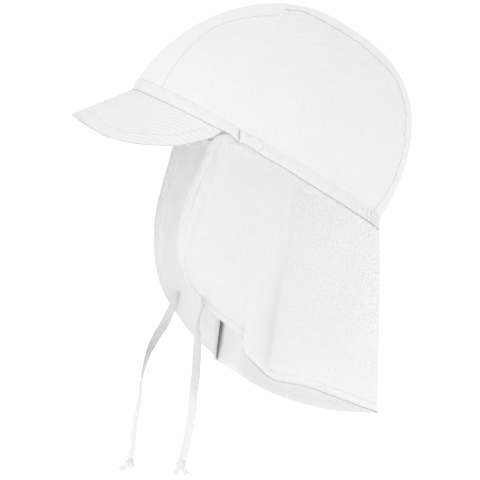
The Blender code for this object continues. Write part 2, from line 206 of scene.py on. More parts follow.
camera_data = bpy.data.cameras.new("camera")
camera_data.lens = CAMERA_LENS
camera = bpy.data.objects.new("camera", camera_data)
camera.location = aim + CAMERA_DISTANCE * to_camera
camera.rotation_euler = to_camera.to_track_quat("Z", "Y").to_euler()
bpy.context.scene.collection.objects.link(camera)
bpy.context.scene.camera = camera
bpy.context.scene.view_settings.view_transform = "Standard"

for name, width, power, (near, right, up) in SOFTBOXES:
    softbox_data = bpy.data.lights.new(name, "AREA")
    softbox_data.shape = "DISK"
    softbox_data.size = width
    softbox_data.energy = power
    softbox = bpy.data.objects.new(name, softbox_data)
    toward_light = (near * to_camera + right * picture_right + up * picture_up).normalized()
    softbox.location = aim + SOFTBOX_DISTANCE * toward_light
    softbox.rotation_euler = toward_light.to_track_quat("Z", "Y").to_euler()
    bpy.context.scene.collection.objects.link(softbox)


def light_and_look(tree, light, seen, socket):
    """Give a socket one strength for the light on the cap and another for what the camera sees."""
    rays = tree.nodes.new("ShaderNodeLightPath")
    strength = tree.nodes.new("ShaderNodeMapRange")
    strength.inputs["To Min"].default_value = light
    strength.inputs["To Max"].default_value = seen
    tree.links.new(rays.outputs["Is Camera Ray"], strength.inputs["Value"])
    tree.links.new(strength.outputs["Result"], socket)


world = bpy.data.worlds.new("studio")
world.use_nodes = True
bpy.context.scene.world = world
sky = world.node_tree.nodes["Background"]
sky.inputs["Color"].default_value = (1.0, 1.0, 1.0, 1.0)
light_and_look(world.node_tree, SKY_LIGHT, SKY_SEEN, sky.inputs["Strength"])

bpy.ops.object.select_all(action="DESELECT")
bpy.ops.mesh.primitive_plane_add(size=FLOOR_SIZE, location=(0.0, 0.0, FLOOR_HEIGHT))
floor = bpy.context.object
floor.name = "floor"
floor_material = bpy.data.materials.new("pale_floor")
floor_material.use_nodes = True
floor_shader = floor_material.node_tree.nodes["Principled BSDF"]
floor_shader.inputs["Base Color"].default_value = (0.9, 0.9, 0.9, 1.0)
floor_shader.inputs["Roughness"].default_value = 1.0
floor_shader.inputs["Specular IOR Level"].default_value = 0.0
floor_shader.inputs["Emission Color"].default_value = (1.0, 1.0, 1.0, 1.0)
light_and_look(floor_material.node_tree, FLOOR_LIGHT, FLOOR_SEEN,
               floor_shader.inputs["Emission Strength"])
floor.data.materials.append(floor_material)
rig.stage(floor)


# Tie tapes. Each is a narrow cotton tape, built as a strip folded in and stitched flat, though it
# may be woven. It is sewn inside a front corner of the flap, hangs limp and half turned, and ends
# in a knot.
TAPE_WIDTH = 0.0055
TAPE_THICKNESS = 0.0009
TAPE_COLUMNS = 16
TAPE_ROWS = 220
TAPE_PINCH = 0.10
TAPE_BOW = 0.00035
TAPE_BUCKLE = 0.00022
TAPE_STITCH = 0.0018
# Darkest shade painted on a tape
TAPE_DARKEST = 0.85
# Way between the two faces of a tape on the map of its threads
FACE_SHIFT = 0.02
WEAVE_PITCH = 0.00109
HOLE_RADIUS = 0.00038
GROOVE_REACH = 0.0012
GROOVE_DEPTH = 0.7
TO_LEFT = Vector((1.0, 0.0, 0.0))
# Route of each tape from the rim's centre: two or three stops at the flap's seam, then the solids' own
LEFT_TAPE_ROUTE = (
    (0.0456, -0.0366, -0.0790),
    (0.0455, -0.0371, -0.0820),
    (0.0425, -0.0406, -0.0935),
    (0.0420, -0.0405, -0.1030),
    (0.0420, -0.0409, -0.1145),
    (0.0415, -0.0414, -0.1240),
    (0.0408, -0.0424, -0.1332),
    (0.0400, -0.0436, -0.1473),
    (0.0385, -0.0458, -0.1612),
    (0.0364, -0.0490, -0.1757),
)
RIGHT_TAPE_ROUTE = (
    (-0.0462, -0.0372, -0.0800),
    (-0.0455, -0.0384, -0.0828),
    (-0.0451, -0.0403, -0.0860),
    (-0.0455, -0.0462, -0.0985),
    (-0.0462, -0.0508, -0.1060),
    (-0.0455, -0.0552, -0.1145),
    (-0.0445, -0.0586, -0.1240),
    (-0.0432, -0.0605, -0.1335),
    (-0.0420, -0.0617, -0.1428),
    (-0.0410, -0.0638, -0.1522),
    (-0.0400, -0.0654, -0.1616),
    (-0.0392, -0.0663, -0.1708),
    (-0.0379, -0.0679, -0.1789),
)
# Turn of the tape's width away from the side view, in degrees, and the shade painted into its
# colour, by the depth below the rim's centre in millimetres
LEFT_TAPE_HANG = (
    # below  turn  shade
    (79.0, 30.0, 0.07),
    (81.0, 40.0, 0.07),
    (88.0, 62.0, 0.07),
    (96.0, 52.0, 0.05),
    (103.0, 35.0, 0.06),
    (110.0, 12.0, 0.10),
    (118.0, 8.0, 0.14),
    (126.0, 6.0, 0.12),
    (132.0, 4.0, 0.13),
    (136.0, 4.0, 0.05),
    (140.0, 4.0, 0.01),
    (150.0, 6.0, 0.00),
    (176.0, 12.0, 0.00),
)
RIGHT_TAPE_HANG = (
    # below  turn  shade
    (80.0, 70.0, 0.10),
    (83.0, 50.0, 0.04),
    (86.0, 20.0, 0.00),
    (91.0, 5.0, 0.04),
    (96.0, 0.0, 0.09),
    (101.0, 0.0, 0.18),
    (106.0, 10.0, 0.19),
    (110.0, 20.0, 0.22),
    (115.0, 41.0, 0.22),
    (120.0, 50.0, 0.18),
    (124.0, 58.0, 0.12),
    (129.0, 66.0, 0.08),
    (133.5, 97.0, 0.12),
    (138.5, 102.0, 0.09),
    (143.0, 104.0, 0.06),
    (149.0, 110.0, 0.04),
    (155.0, 114.0, 0.03),
    (161.0, 118.0, 0.02),
    (180.0, 118.0, 0.02),
)


def column(table, place, number):
    """Value of one column of a table at a place in its first column, on a smooth curve."""
    places = [row[0] for row in table]
    values = [row[number] for row in table]
    last = len(places) - 1
    place = min(max(place, places[0]), places[last])
    row = max(i for i in range(last) if places[i] <= place)

    def slope(i):
        before, after = max(i - 1, 0), min(i + 1, last)
        return (values[after] - values[before]) / (places[after] - places[before])

    width = places[row + 1] - places[row]
    t = (place - places[row]) / width
    return ((2 * t**3 - 3 * t**2 + 1) * values[row] + (t**3 - 2 * t**2 + t) * width * slope(row)
            + (3 * t**2 - 2 * t**3) * values[row + 1] + (t**3 - t**2) * width * slope(row + 1))


def shares(count):
    """Even shares from 0 to 1."""
    return [i / count for i in range(count + 1)]


def ripple(x, y=0.0, z=0.0):
    """Even noise between about -1 and 1."""
    return noise.noise(Vector((x, y, z)))


def square_to(run, way):
    """Direction of a way as far as it is square to a run."""
    return (way - way.dot(run) * run).normalized()


def walked_along(line):
    """Way walked from the start of a line of points to each of them."""
    walked = [0.0]
    for a, b in zip(line, line[1:]):
        walked.append(walked[-1] + (b - a).length)
    return walked


def smooth_route(stops, count):
    """Evenly spaced points on a smooth curve through a route's stops."""
    stops = [Vector(stop) for stop in stops]
    fine = []
    for i in range(len(stops) - 1):
        before, start = stops[max(i - 1, 0)], stops[i]
        end, after = stops[i + 1], stops[min(i + 2, len(stops) - 1)]
        for t in shares(40)[:-1]:
            fine.append(0.5 * (2 * start + (end - before) * t
                               + (2 * before - 5 * start + 4 * end - after) * t**2
                               + (3 * start - before - 3 * end + after) * t**3))
    fine.append(stops[-1])
    walked = walked_along(fine)
    points = []
    step = 0
    for target in shares(count):
        while step < len(fine) - 2 and walked[step + 1] < target * walked[-1]:
            step += 1
        share = (target * walked[-1] - walked[step]) / (walked[step + 1] - walked[step])
        points.append(fine[step].lerp(fine[step + 1], min(max(share, 0.0), 1.0)))
    return points, walked[-1]


def cloth_grid(name, corners, closed=False):
    """Grid of cloth from its rows of corners, with a UV map of its threads in metres.

    A corner is its place, its threads, the shade painted on its outside and on its lining in seams,
    creases and folds from 0 to 1 and, on cloth with a stitch line, the way along and off that line.
    """
    rows, columns = len(corners) - 1, len(corners[0]) - 1
    bpy.ops.object.select_all(action="DESELECT")
    bpy.ops.mesh.primitive_grid_add(x_subdivisions=columns, y_subdivisions=rows, size=1.0)
    piece = bpy.context.object
    piece.name = name
    mesh = piece.data
    start = np.zeros(len(mesh.vertices) * 3)
    mesh.vertices.foreach_get("co", start)
    start = start.reshape(-1, 3)
    across = np.rint((start[:, 0] + 0.5) * columns).astype(int)
    along = np.rint((start[:, 1] + 0.5) * rows).astype(int)
    vertex = np.zeros(len(mesh.loops), dtype=int)
    mesh.loops.foreach_get("vertex_index", vertex)

    def entry(number):
        values = [[corner[number] for corner in line] for line in corners]
        return np.array(values, dtype=float)[along, across]

    mesh.vertices.foreach_set("co", entry(0).ravel())
    mesh.uv_layers[0].name = "threads"
    mesh.uv_layers[0].data.foreach_set("uv", entry(1)[vertex].ravel())
    if len(corners[0][0]) > 3:
        stitches = mesh.uv_layers.new(name="stitch_line")
        stitches.data.foreach_set("uv", entry(3)[vertex].ravel())
    # Shade painted into the colour of the outside and of the lining
    depths = entry(2)
    for number, layer in enumerate(("painted_shade", "lining_painted_shade")):
        mesh.attributes.new(layer, "FLOAT", "POINT")
        mesh.attributes[layer].data.foreach_set("value", depths[:, number].copy())
    if closed:
        bpy.ops.object.mode_set(mode="EDIT")
        bpy.ops.mesh.select_all(action="SELECT")
        bpy.ops.mesh.remove_doubles(threshold=0.000005)
        bpy.ops.object.mode_set(mode="OBJECT")
    mesh.shade_smooth()
    return piece


def give_wall(piece, thickness):
    """Cloth wall on the side that the sheet faces; the sheet itself becomes the lining."""
    lining = np.zeros(len(piece.data.vertices))
    piece.data.attributes["lining_painted_shade"].data.foreach_get("value", lining)
    wall = piece.modifiers.new("Wall", "SOLIDIFY")
    wall.thickness = thickness
    wall.offset = 1.0
    bpy.ops.object.select_all(action="DESELECT")
    bpy.context.view_layer.objects.active = piece
    bpy.ops.object.modifier_apply(modifier="Wall")
    # The lining's painted shade goes to the vertices that the wall adds
    depths = np.zeros(len(piece.data.vertices))
    piece.data.attributes["painted_shade"].data.foreach_get("value", depths)
    depths[len(lining):] = lining
    piece.data.attributes["painted_shade"].data.foreach_set("value", depths)
    piece.select_set(True)
    bpy.ops.object.shade_smooth_by_angle(angle=math.radians(50.0))


def new_group(name, vector, outputs):
    """Node group that takes a vector and a pitch, its sockets, and a maker of its math nodes."""
    group = bpy.data.node_groups.new(name, "ShaderNodeTree")
    group.interface.new_socket(vector, in_out="INPUT", socket_type="NodeSocketVector")
    group.interface.new_socket("Pitch", in_out="INPUT", socket_type="NodeSocketFloat")
    for output in outputs:
        group.interface.new_socket(output, in_out="OUTPUT", socket_type="NodeSocketFloat")
    given = group.nodes.new("NodeGroupInput")
    out = group.nodes.new("NodeGroupOutput")

    def math_node(operation, *values):
        node = group.nodes.new("ShaderNodeMath")
        node.operation = operation
        for number, value in enumerate(values):
            if isinstance(value, (int, float)):
                node.inputs[number].default_value = value
            else:
                group.links.new(value, node.inputs[number])
        return node.outputs[0]

    return group, given.outputs, out.inputs, math_node


def make_weave_group():
    """Plain weave: warp and weft that pass over and under, each thread a little uneven."""
    group, given, out, math_node = new_group("plain_weave", "Place", ("Height", "Gaps", "Slubs", "Ribs"))
    nodes, links = group.nodes, group.links
    split = nodes.new("ShaderNodeSeparateXYZ")
    links.new(given["Place"], split.inputs[0])
    threads = [math_node("DIVIDE", split.outputs[axis], given["Pitch"]) for axis in ("X", "Y")]
    rises = []
    slubs = []
    for this, other, start in ((threads[0], threads[1], 0.0), (threads[1], threads[0], 1.0)):
        number = math_node("FLOOR", this)
        round_thread = math_node("ABSOLUTE", math_node("SINE", math_node("MULTIPLY", this, math.pi)))
        wave = math_node("ADD", other, math_node("ADD", number, start))
        over = math_node("SINE", math_node("MULTIPLY", wave, math.pi))
        lift = math_node("ADD", math_node("MULTIPLY", over, 0.42), 0.58)
        rises.append(math_node("MULTIPLY", round_thread, lift))
        uneven = nodes.new("ShaderNodeTexNoise")
        uneven.noise_dimensions = "2D"
        uneven.inputs["Scale"].default_value = 1.0
        uneven.inputs["Detail"].default_value = 1.0
        join = nodes.new("ShaderNodeCombineXYZ")
        links.new(math_node("MULTIPLY", number, 7.31), join.inputs["X"])
        links.new(math_node("MULTIPLY", other, 0.09), join.inputs["Y"])
        links.new(join.outputs[0], uneven.inputs["Vector"])
        slubs.append(uneven.outputs["Fac"])
    height = math_node("MAXIMUM", rises[0], rises[1])
    links.new(height, out["Height"])
    links.new(math_node("POWER", math_node("SUBTRACT", 1.0, height), 1.5), out["Gaps"])
    links.new(math_node("SUBTRACT", 1.0, round_thread), out["Ribs"])
    links.new(math_node("MULTIPLY", math_node("ADD", slubs[0], slubs[1]), 0.5), out["Slubs"])
    return group


def make_topstitch_group():
    """Needle holes for painted shade and the shallow groove of a stitch line, from the way along and off it."""
    group, given, out, math_node = new_group("topstitch", "Line", ("Holes", "Groove"))
    nodes, links = group.nodes, group.links
    split = nodes.new("ShaderNodeSeparateXYZ")
    links.new(given["Line"], split.inputs[0])
    along = math_node("DIVIDE", split.outputs["X"], given["Pitch"])
    off_hole = math_node("MULTIPLY", math_node("PINGPONG", along, 0.5), given["Pitch"])
    off_line = math_node("ABSOLUTE", split.outputs["Y"])
    spread = math_node("ADD", math_node("POWER", off_hole, 2.0), math_node("POWER", off_line, 2.0))
    links.new(math_node("LESS_THAN", math_node("SQRT", spread), HOLE_RADIUS), out["Holes"])
    groove = nodes.new("ShaderNodeMapRange")
    groove.interpolation_type = "SMOOTHSTEP"
    groove.inputs["From Max"].default_value = GROOVE_REACH
    groove.inputs["To Min"].default_value = 1.0
    groove.inputs["To Max"].default_value = 0.0
    links.new(off_line, groove.inputs["Value"])
    links.new(groove.outputs["Result"], out["Groove"])
    return group


weave_group = make_weave_group()
topstitch_group = make_topstitch_group()


def dull_material(name, glow, glow_weight):
    """Material with cotton's dull face, and the glow of light that scatters in thin cloth."""
    material = bpy.data.materials.new(name)
    material.use_nodes = True
    shader = material.node_tree.nodes["Principled BSDF"]
    shader.inputs["Roughness"].default_value = 0.92
    shader.inputs["Specular IOR Level"].default_value = 0.15
    shader.inputs["Subsurface Weight"].default_value = glow_weight if glow else 0.0
    shader.inputs["Subsurface Radius"].default_value = (1.0, 1.0, 1.0)
    shader.inputs["Subsurface Scale"].default_value = glow
    return material, material.node_tree.nodes, material.node_tree.links, shader


def weave_at(nodes, links, place, pitch):
    """Node of the weave at a place on the cloth."""
    weave = nodes.new("ShaderNodeGroup")
    weave.node_tree = weave_group
    weave.inputs["Pitch"].default_value = pitch
    links.new(place, weave.inputs["Place"])
    return weave


def colour_and_relief(nodes, links, shader, tone, height, relief):
    """Grey tone as the cloth's colour, and the height of its threads as relief."""
    colour = nodes.new("ShaderNodeCombineColor")
    for channel in ("Red", "Green", "Blue"):
        links.new(tone, colour.inputs[channel])
    links.new(colour.outputs["Color"], shader.inputs["Base Color"])
    bump = nodes.new("ShaderNodeBump")
    bump.inputs["Distance"].default_value = relief
    links.new(height, bump.inputs["Height"])
    links.new(bump.outputs["Normal"], shader.inputs["Normal"])


def cotton(name, shade, pitch, gap_tone=0.13, ribs=0.0, relief=0.00014, turn=0.0, glow=0.004,
           stitch_pitch=0.0, hole_shade=0.80):
    """White cotton: its weave, cloudy tone, and painted shade in seams, creases and stitch holes.

    Light passes through the single cloth of the flap, so its scatter reaches further than the wall
    is thick. The doubled cloth elsewhere has no such glow.
    """
    material, nodes, links, shader = dull_material(name, glow, 1.0)
    shader.inputs["Sheen Weight"].default_value = 0.08
    shader.inputs["Sheen Roughness"].default_value = 0.6
    threads = nodes.new("ShaderNodeUVMap")
    threads.uv_map = "threads"
    mapping = nodes.new("ShaderNodeMapping")
    mapping.inputs["Rotation"].default_value[2] = turn
    links.new(threads.outputs["UV"], mapping.inputs["Vector"])
    weave = weave_at(nodes, links, mapping.outputs["Vector"], pitch)
    place = nodes.new("ShaderNodeTexCoord")
    cloud = nodes.new("ShaderNodeTexNoise")
    cloud.inputs["Scale"].default_value = 28.0
    cloud.inputs["Detail"].default_value = 5.0
    links.new(place.outputs["Object"], cloud.inputs["Vector"])

    def scaled(value, low, high):
        node = nodes.new("ShaderNodeMapRange")
        node.inputs["To Min"].default_value = low
        node.inputs["To Max"].default_value = high
        links.new(value, node.inputs["Value"])
        return node.outputs["Result"]

    def times(first, second):
        node = nodes.new("ShaderNodeMath")
        node.operation = "MULTIPLY"
        links.new(first, node.inputs[0])
        links.new(second, node.inputs[1])
        return node.outputs[0]

    # Gaps and furrows between threads are darker: partly the thinner cloth and partly painted shade
    tone = times(scaled(weave.outputs["Gaps"], shade, shade * (1 - gap_tone)),
                 scaled(weave.outputs["Slubs"], 0.965, 1.035))
    tone = times(tone, scaled(weave.outputs["Ribs"], 1.0, 1 - ribs))
    tone = times(tone, scaled(cloud.outputs["Fac"], 0.985, 1.015))
    # Painted shade from the piece's attribute darkens the colour
    painted_shade = nodes.new("ShaderNodeAttribute")
    painted_shade.attribute_name = "painted_shade"
    tone = times(tone, scaled(painted_shade.outputs["Fac"], 1.0, 0.0))
    height = weave.outputs["Height"]
    if stitch_pitch:
        line = nodes.new("ShaderNodeUVMap")
        line.uv_map = "stitch_line"
        stitches = nodes.new("ShaderNodeGroup")
        stitches.node_tree = topstitch_group
        stitches.inputs["Pitch"].default_value = stitch_pitch
        links.new(line.outputs["UV"], stitches.inputs["Line"])
        # The needle holes are darkened with painted shade
        tone = times(tone, scaled(stitches.outputs["Holes"], 1.0, hole_shade))
        deeper = nodes.new("ShaderNodeMath")
        deeper.operation = "MULTIPLY_ADD"
        links.new(stitches.outputs["Groove"], deeper.inputs[0])
        deeper.inputs[1].default_value = -GROOVE_DEPTH
        links.new(height, deeper.inputs[2])
        height = deeper.outputs[0]
    colour_and_relief(nodes, links, shader, tone, height, relief)
    return material


def tape_frame(points, i, turn):
    """Width and flat directions of a tape at one of its points."""
    run = (points[min(i + 1, len(points) - 1)] - points[max(i - 1, 0)]).normalized()
    in_picture = run.cross(TO_LEFT).normalized()
    outward = square_to(run, TO_LEFT)
    return (math.cos(turn) * in_picture + math.sin(turn) * outward,
            math.cos(turn) * outward - math.sin(turn) * in_picture)


def make_tape(name, route, hang, seed):
    """Folded tape: a flattened tube with soft buckles and painted shade along it, and its stitch line."""
    points, length = smooth_route([RIM_CENTRE + Vector(stop) for stop in route], TAPE_ROWS)
    corners = []
    for i, share in enumerate(shares(TAPE_ROWS)):
        below = (RIM_CENTRE.z - points[i].z) * 1000
        shade = column(hang, below, 2)
        width_way, flat_way = tape_frame(points, i, math.radians(column(hang, below, 1)))
        walk = share * length
        pinch = 1 - TAPE_PINCH * ripple(walk * 150, seed)
        bow = TAPE_BOW * ripple(walk * 90, seed, 5.0)
        line = []
        for step in shares(TAPE_COLUMNS):
            angle = 2 * math.pi * step
            across = math.copysign(abs(math.cos(angle)) ** 0.55, math.cos(angle)) * TAPE_WIDTH / 2 * pinch
            proud = math.copysign(abs(math.sin(angle)) ** 0.8, math.sin(angle)) * TAPE_THICKNESS / 2
            buckle = TAPE_BUCKLE * ripple(walk * 260, across * 500, seed)
            sag = bow * (1 - (2 * across / TAPE_WIDTH) ** 2)
            # Shade painted along the tape, patchy where it turns from the light
            patchy_shade = 1 + 0.6 * ripple(walk * 420, across * 700, seed + 9)
            line.append((points[i] + across * width_way + (proud + buckle + sag) * flat_way,
                         (across + (FACE_SHIFT if proud < 0 else 0.0), walk),
                         (min(shade * patchy_shade, TAPE_DARKEST), 0.0),
                         (walk, across - TAPE_WIDTH * 0.30)))
        corners.append(line)
    tape = cloth_grid(name, corners, closed=True)
    bpy.ops.object.mode_set(mode="EDIT")
    bpy.ops.mesh.select_all(action="SELECT")
    bpy.ops.mesh.fill_holes(sides=0)
    bpy.ops.mesh.select_all(action="SELECT")
    bpy.ops.mesh.normals_make_consistent(inside=False)
    bpy.ops.object.mode_set(mode="OBJECT")
    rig.ride(tape, "root")
    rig.slot(tape, "tape_cotton")
    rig.replaces(tape, name.replace("_tape", ""))
    return tape, points, length


tape_cotton = cotton("tape_cotton", 0.945, 0.0008, relief=0.0001, glow=0.0,
                     stitch_pitch=TAPE_STITCH, hole_shade=0.93)
tapes = {}
for side, route, hang, seed in (("left", LEFT_TAPE_ROUTE, LEFT_TAPE_HANG, 1.0),
                                ("right", RIGHT_TAPE_ROUTE, RIGHT_TAPE_HANG, 2.0)):
    tape, points, length = make_tape(f"tie_{side}_tape", route, hang, seed)
    tape.data.materials.append(tape_cotton)
    tapes[side] = (tape, points, length)


# Knots. The tape's end is tied once over itself: a band of tape wraps the knot, and one or two
# short cut ends stand out of it.
KNOT_WIDTH = 0.0060
KNOT_HEIGHT = 0.0062
KNOT_DEPTH = 0.0048
TAIL_WIDTH = 0.0036
TAIL_LENGTH = 0.0056
TAIL_THICKNESS = 0.0010
TAIL_CURL = 0.0005
TAIL_LAP = 0.0018
SKIN_GRAIN = 0.00018


def bell(off, width):
    """Smooth hump of height 1 at no distance, gone at about twice the width."""
    return math.exp(-((off / width) ** 2))


def join(pieces):
    """Join pieces into the first of them."""
    bpy.ops.object.select_all(action="DESELECT")
    for piece in pieces:
        piece.select_set(True)
    bpy.context.view_layer.objects.active = pieces[0]
    bpy.ops.object.join()


def make_knot(side, tails, lap):
    """Knot of tape that laps the tape's end: a creased lump with its band, and the cut ends.

    tails holds the lean of each cut end in degrees from hanging straight down.
    """
    points = tapes[side][1]
    down = (points[-1] - points[-6]).normalized()
    centre = points[-1] + down * (KNOT_HEIGHT / 2 - lap)
    depth = square_to(down, TO_LEFT)
    width = depth.cross(down)
    bpy.ops.object.select_all(action="DESELECT")
    bpy.ops.mesh.primitive_uv_sphere_add(segments=40, ring_count=28, radius=0.5)
    knot = bpy.context.object
    knot.name = f"tie_{side}_knot"
    for corner in knot.data.vertices:
        x, y, z = corner.co
        wrap = bell(z - 0.16 - 0.35 * y, 0.13)
        crease = bell(z - 0.02 - 0.35 * y, 0.035) + bell(y + 0.02 + 0.3 * z, 0.05) * (z < 0)
        lump = noise.noise(3.1 * corner.co + Vector((0, 0, ord(side[0]))))
        swell = 1 + 0.10 * wrap - 0.22 * crease + 0.10 * lump
        corner.co = (centre + depth * x * KNOT_DEPTH * swell + width * y * KNOT_WIDTH * swell
                     - down * z * KNOT_HEIGHT * swell)
    pieces = [knot]
    for lean in tails:
        bpy.ops.mesh.primitive_cube_add(size=1.0)
        tail = bpy.context.object
        bpy.ops.object.mode_set(mode="EDIT")
        bpy.ops.mesh.subdivide(number_cuts=9)
        bpy.ops.object.mode_set(mode="OBJECT")
        hang = Vector((0.0, math.sin(math.radians(lean)), -math.cos(math.radians(lean))))
        beside = Vector((0.0, math.cos(math.radians(lean)), math.sin(math.radians(lean))))
        start = centre + hang * (KNOT_HEIGHT / 2 - TAIL_LAP)
        for corner in tail.data.vertices:
            x, y, z = corner.co
            reach = 0.5 - z
            flare = 0.75 + 0.35 * reach
            curl = TAIL_CURL * math.sin(2.2 * reach + 3 * y)
            corner.co = (start + hang * reach * TAIL_LENGTH
                         + beside * y * TAIL_WIDTH * flare
                         + TO_LEFT * (x * TAIL_THICKNESS * (1.2 - 0.4 * reach) + curl))
        pieces.append(tail)
    join(pieces)
    melt = knot.modifiers.new("One skin", "REMESH")
    melt.mode = "VOXEL"
    melt.voxel_size = SKIN_GRAIN
    bpy.ops.object.modifier_apply(modifier="One skin")
    soft = knot.modifiers.new("Soft", "SMOOTH")
    soft.factor = 0.5
    soft.iterations = 4
    bpy.ops.object.modifier_apply(modifier="Soft")
    knot.data.shade_smooth()
    knot.data.materials.append(knot_cotton)
    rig.ride(knot, "root")
    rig.slot(knot, "tape_cotton")
    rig.replaces(knot, f"tie_knot_{side}")
    return knot


def plain_cotton(name, shade, pitch, glow):
    """Cotton without a map of its threads, for the knots and the sewing thread: grain by place."""
    material, nodes, links, shader = dull_material(name, glow, 0.7)
    place = nodes.new("ShaderNodeTexCoord")
    turn = nodes.new("ShaderNodeMapping")
    turn.inputs["Rotation"].default_value = (0.3, math.pi / 2, 0.2)
    links.new(place.outputs["Object"], turn.inputs["Vector"])
    weave = weave_at(nodes, links, turn.outputs["Vector"], pitch)
    # Gaps between threads are darker: partly the thinner cloth and partly painted shade
    tone = nodes.new("ShaderNodeMapRange")
    tone.inputs["To Min"].default_value = shade
    tone.inputs["To Max"].default_value = shade * 0.86
    links.new(weave.outputs["Gaps"], tone.inputs["Value"])
    colour_and_relief(nodes, links, shader, tone.outputs["Result"], weave.outputs["Height"], 0.00004)
    return material


knot_cotton = plain_cotton("knot_cotton", 0.90, 0.0011, glow=0.0)
knots = {"left": make_knot("left", (-34.0, 32.0), 0.0016),
         "right": make_knot("right", (-58.0,), 0.0006)}
for side, (tape, points, length) in tapes.items():
    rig.cord(tape, exit=points[0], length=length, diameter=TAPE_WIDTH, far_end="knot",
            stiffness="limp", lay="hanging", path=points[::4], with_pieces=[knots[side]])


# Crown. Three cotton panels, a strip over the top and a side each, sewn right sides together:
# every seam sinks into a shallow ditch with a thin line of painted shade, dotted in front, and puckers the cloth
# behind.
CLOTH = 0.0012
WALL = 0.0008
RIM_HALF_LENGTH = 0.0819
RIM_HALF_WIDTH = 0.0672
CROWN_HEIGHT = 0.0944
RIM_TILT = math.radians(30.15)
FRONT_FULLNESS = 1.93
BACK_FULLNESS = 2.71
ELASTIC_PINCH = 0.0015
PINCH_REACH = 0.0065
SEAM_FLARE = 0.0034
FLARE_REACH = 0.0040
BAND_HEIGHT = 0.0072
STRIP_ROWS = 340
STRIP_COLUMNS = 56
SIDE_ROWS = 104
DITCH_DEPTH = 0.00040
DITCH_WIDTH = 0.00050
# Half-widths of a crown seam's line of painted shade, in front and behind
SEAM_LINE = 0.00038
SEAM_LINE_BEHIND = 0.00062
SEAM_STITCH = 0.0021
PLAIN_TURN = math.radians(74.0)
GATHER_DEPTH = 0.00050
SEAM_SWELL = 0.00022
FRONT_KINK = 0.0016
DENT_DEPTH = 0.00038
STITCH_DITCH = 0.00008
WARP_WANDER = 0.0030
# Rough lengths for maps and dashes: the way over the crown, its radius and the rim's
CROWN_WALK = 0.29
CROWN_RADIUS = 0.085
RIM_RADIUS = 0.0745
STRIP = (
    # along  half_width
    (0.00, 0.485),
    (0.12, 0.395),
    (0.21, 0.330),
    (0.34, 0.410),
    (0.41, 0.345),
    (0.48, 0.395),
    (0.57, 0.410),
    (0.67, 0.370),
    (0.80, 0.415),
    (0.94, 0.445),
    (1.00, 0.520),
)

TO_BACK = Vector((0.0, math.cos(RIM_TILT), -math.sin(RIM_TILT)))
UP_RIM = Vector((0.0, math.sin(RIM_TILT), math.cos(RIM_TILT)))


def ramp(way, width):
    """Share of a width that a way has covered, from 0 to 1."""
    return min(1.0, max(way, 0.0) / width)


def turn_of(direction):
    """Turn of a direction round the rim, 0 in front and pi behind."""
    return math.atan2(direction[1], -direction[0])


def from_front(turn):
    """Turn away from the front, on either side."""
    return abs(math.remainder(turn, 2 * math.pi))


def fullness(turn):
    """Exponent of the crown's profile at a turn round the rim, 0 in front and pi behind."""
    return FRONT_FULLNESS + (BACK_FULLNESS - FRONT_FULLNESS) * (1 - math.cos(turn)) / 2


def crown(direction, proud=0.0):
    """Point of the crown in a direction (back, left, up) of the unit sphere."""
    back, left, up = direction
    turn = turn_of(direction)
    power = 2 / fullness(turn)
    spread = math.hypot(back, left) ** power
    height = max(up, 0.0) ** power
    behind = (1 - math.cos(turn)) / 2
    above_band = (height * CROWN_HEIGHT - BAND_HEIGHT) / PINCH_REACH
    pinch = ELASTIC_PINCH * behind**2 * math.exp(-above_band**2)
    pinch -= SEAM_FLARE * behind**4 * math.exp(-height * CROWN_HEIGHT / FLARE_REACH)
    return (RIM_CENTRE - math.cos(turn) * spread * (RIM_HALF_LENGTH + proud - pinch) * TO_BACK
            + math.sin(turn) * spread * (RIM_HALF_WIDTH + proud) * TO_LEFT
            + height * (CROWN_HEIGHT + proud) * UP_RIM)


def over_the_top(along, across=0.0):
    """Direction at a share of the way over the crown, across being the share of the width."""
    ring = math.sqrt(1 - across**2)
    return (-ring * math.cos(math.pi * along), across, ring * math.sin(math.pi * along))


def at_height(turn, height):
    """Direction of the crown's wall at a turn round the rim and a height above its plane."""
    lift = math.asin((height / CROWN_HEIGHT) ** (fullness(turn) / 2))
    return (-math.cos(lift) * math.cos(turn), math.cos(lift) * math.sin(turn), math.sin(lift))


def between(start, end, share):
    """Direction on the shortest arc between two directions."""
    start, end = Vector(start), Vector(end)
    angle = start.angle(end)
    if angle < 1e-6:
        return start
    return (math.sin((1 - share) * angle) * start + math.sin(share * angle) * end) / math.sin(angle)


def strip_end(end, across):
    """Share of the way over the top at which the strip meets the band."""
    aside = across * column(STRIP, end, 1)
    turn = math.asin(aside) if end < 0.5 else math.pi - math.asin(aside)
    lift = (BAND_HEIGHT / CROWN_HEIGHT) ** (fullness(turn) / 2)
    along = math.asin(lift / math.sqrt(1 - aside**2)) / math.pi
    return along if end < 0.5 else 1 - along


def seam_half_width(along):
    """Half-width of the strip at its seam, a little uneven where the seam puckers."""
    behind = ramp(along - 0.45, 0.1)
    waves = 0.022 * ripple(along * 46, 3.0) + 0.012 * ripple(along * 110, 7.0)
    jogs = 0.028 * bell(along - 0.772, 0.010) - 0.010 * bell(along - 0.792, 0.012)
    jogs += 0.020 * bell(along - 0.470, 0.010)
    kink = 0.050 / (1 + math.exp((0.366 - along) / 0.007)) / (1 + math.exp((along - 0.428) / 0.010))
    kink -= 0.016 * bell(along - 0.345, 0.010)
    return column(STRIP, along, 1) + behind * (waves - jogs) - kink


def seam_relief(off_seam, along, side):
    """Height of the cloth beside a crown seam: the ditch of the seam and the puckers it makes."""
    behind = ramp(along - 0.40, 0.15)
    ditch = -DITCH_DEPTH * (0.55 + 0.45 * behind) * bell(off_seam, DITCH_WIDTH)
    swell = SEAM_SWELL * behind * bell(off_seam - 0.0022, 0.0014)
    pucker = (0.00010 + 0.00042 * behind) * ripple(along * 70, side * 4.0, off_seam * 90)
    kink = FRONT_KINK * bell(along - 0.372, 0.008) * math.exp(-off_seam / 0.009)
    return ditch + swell + pucker * math.exp(-off_seam / 0.0055) + kink


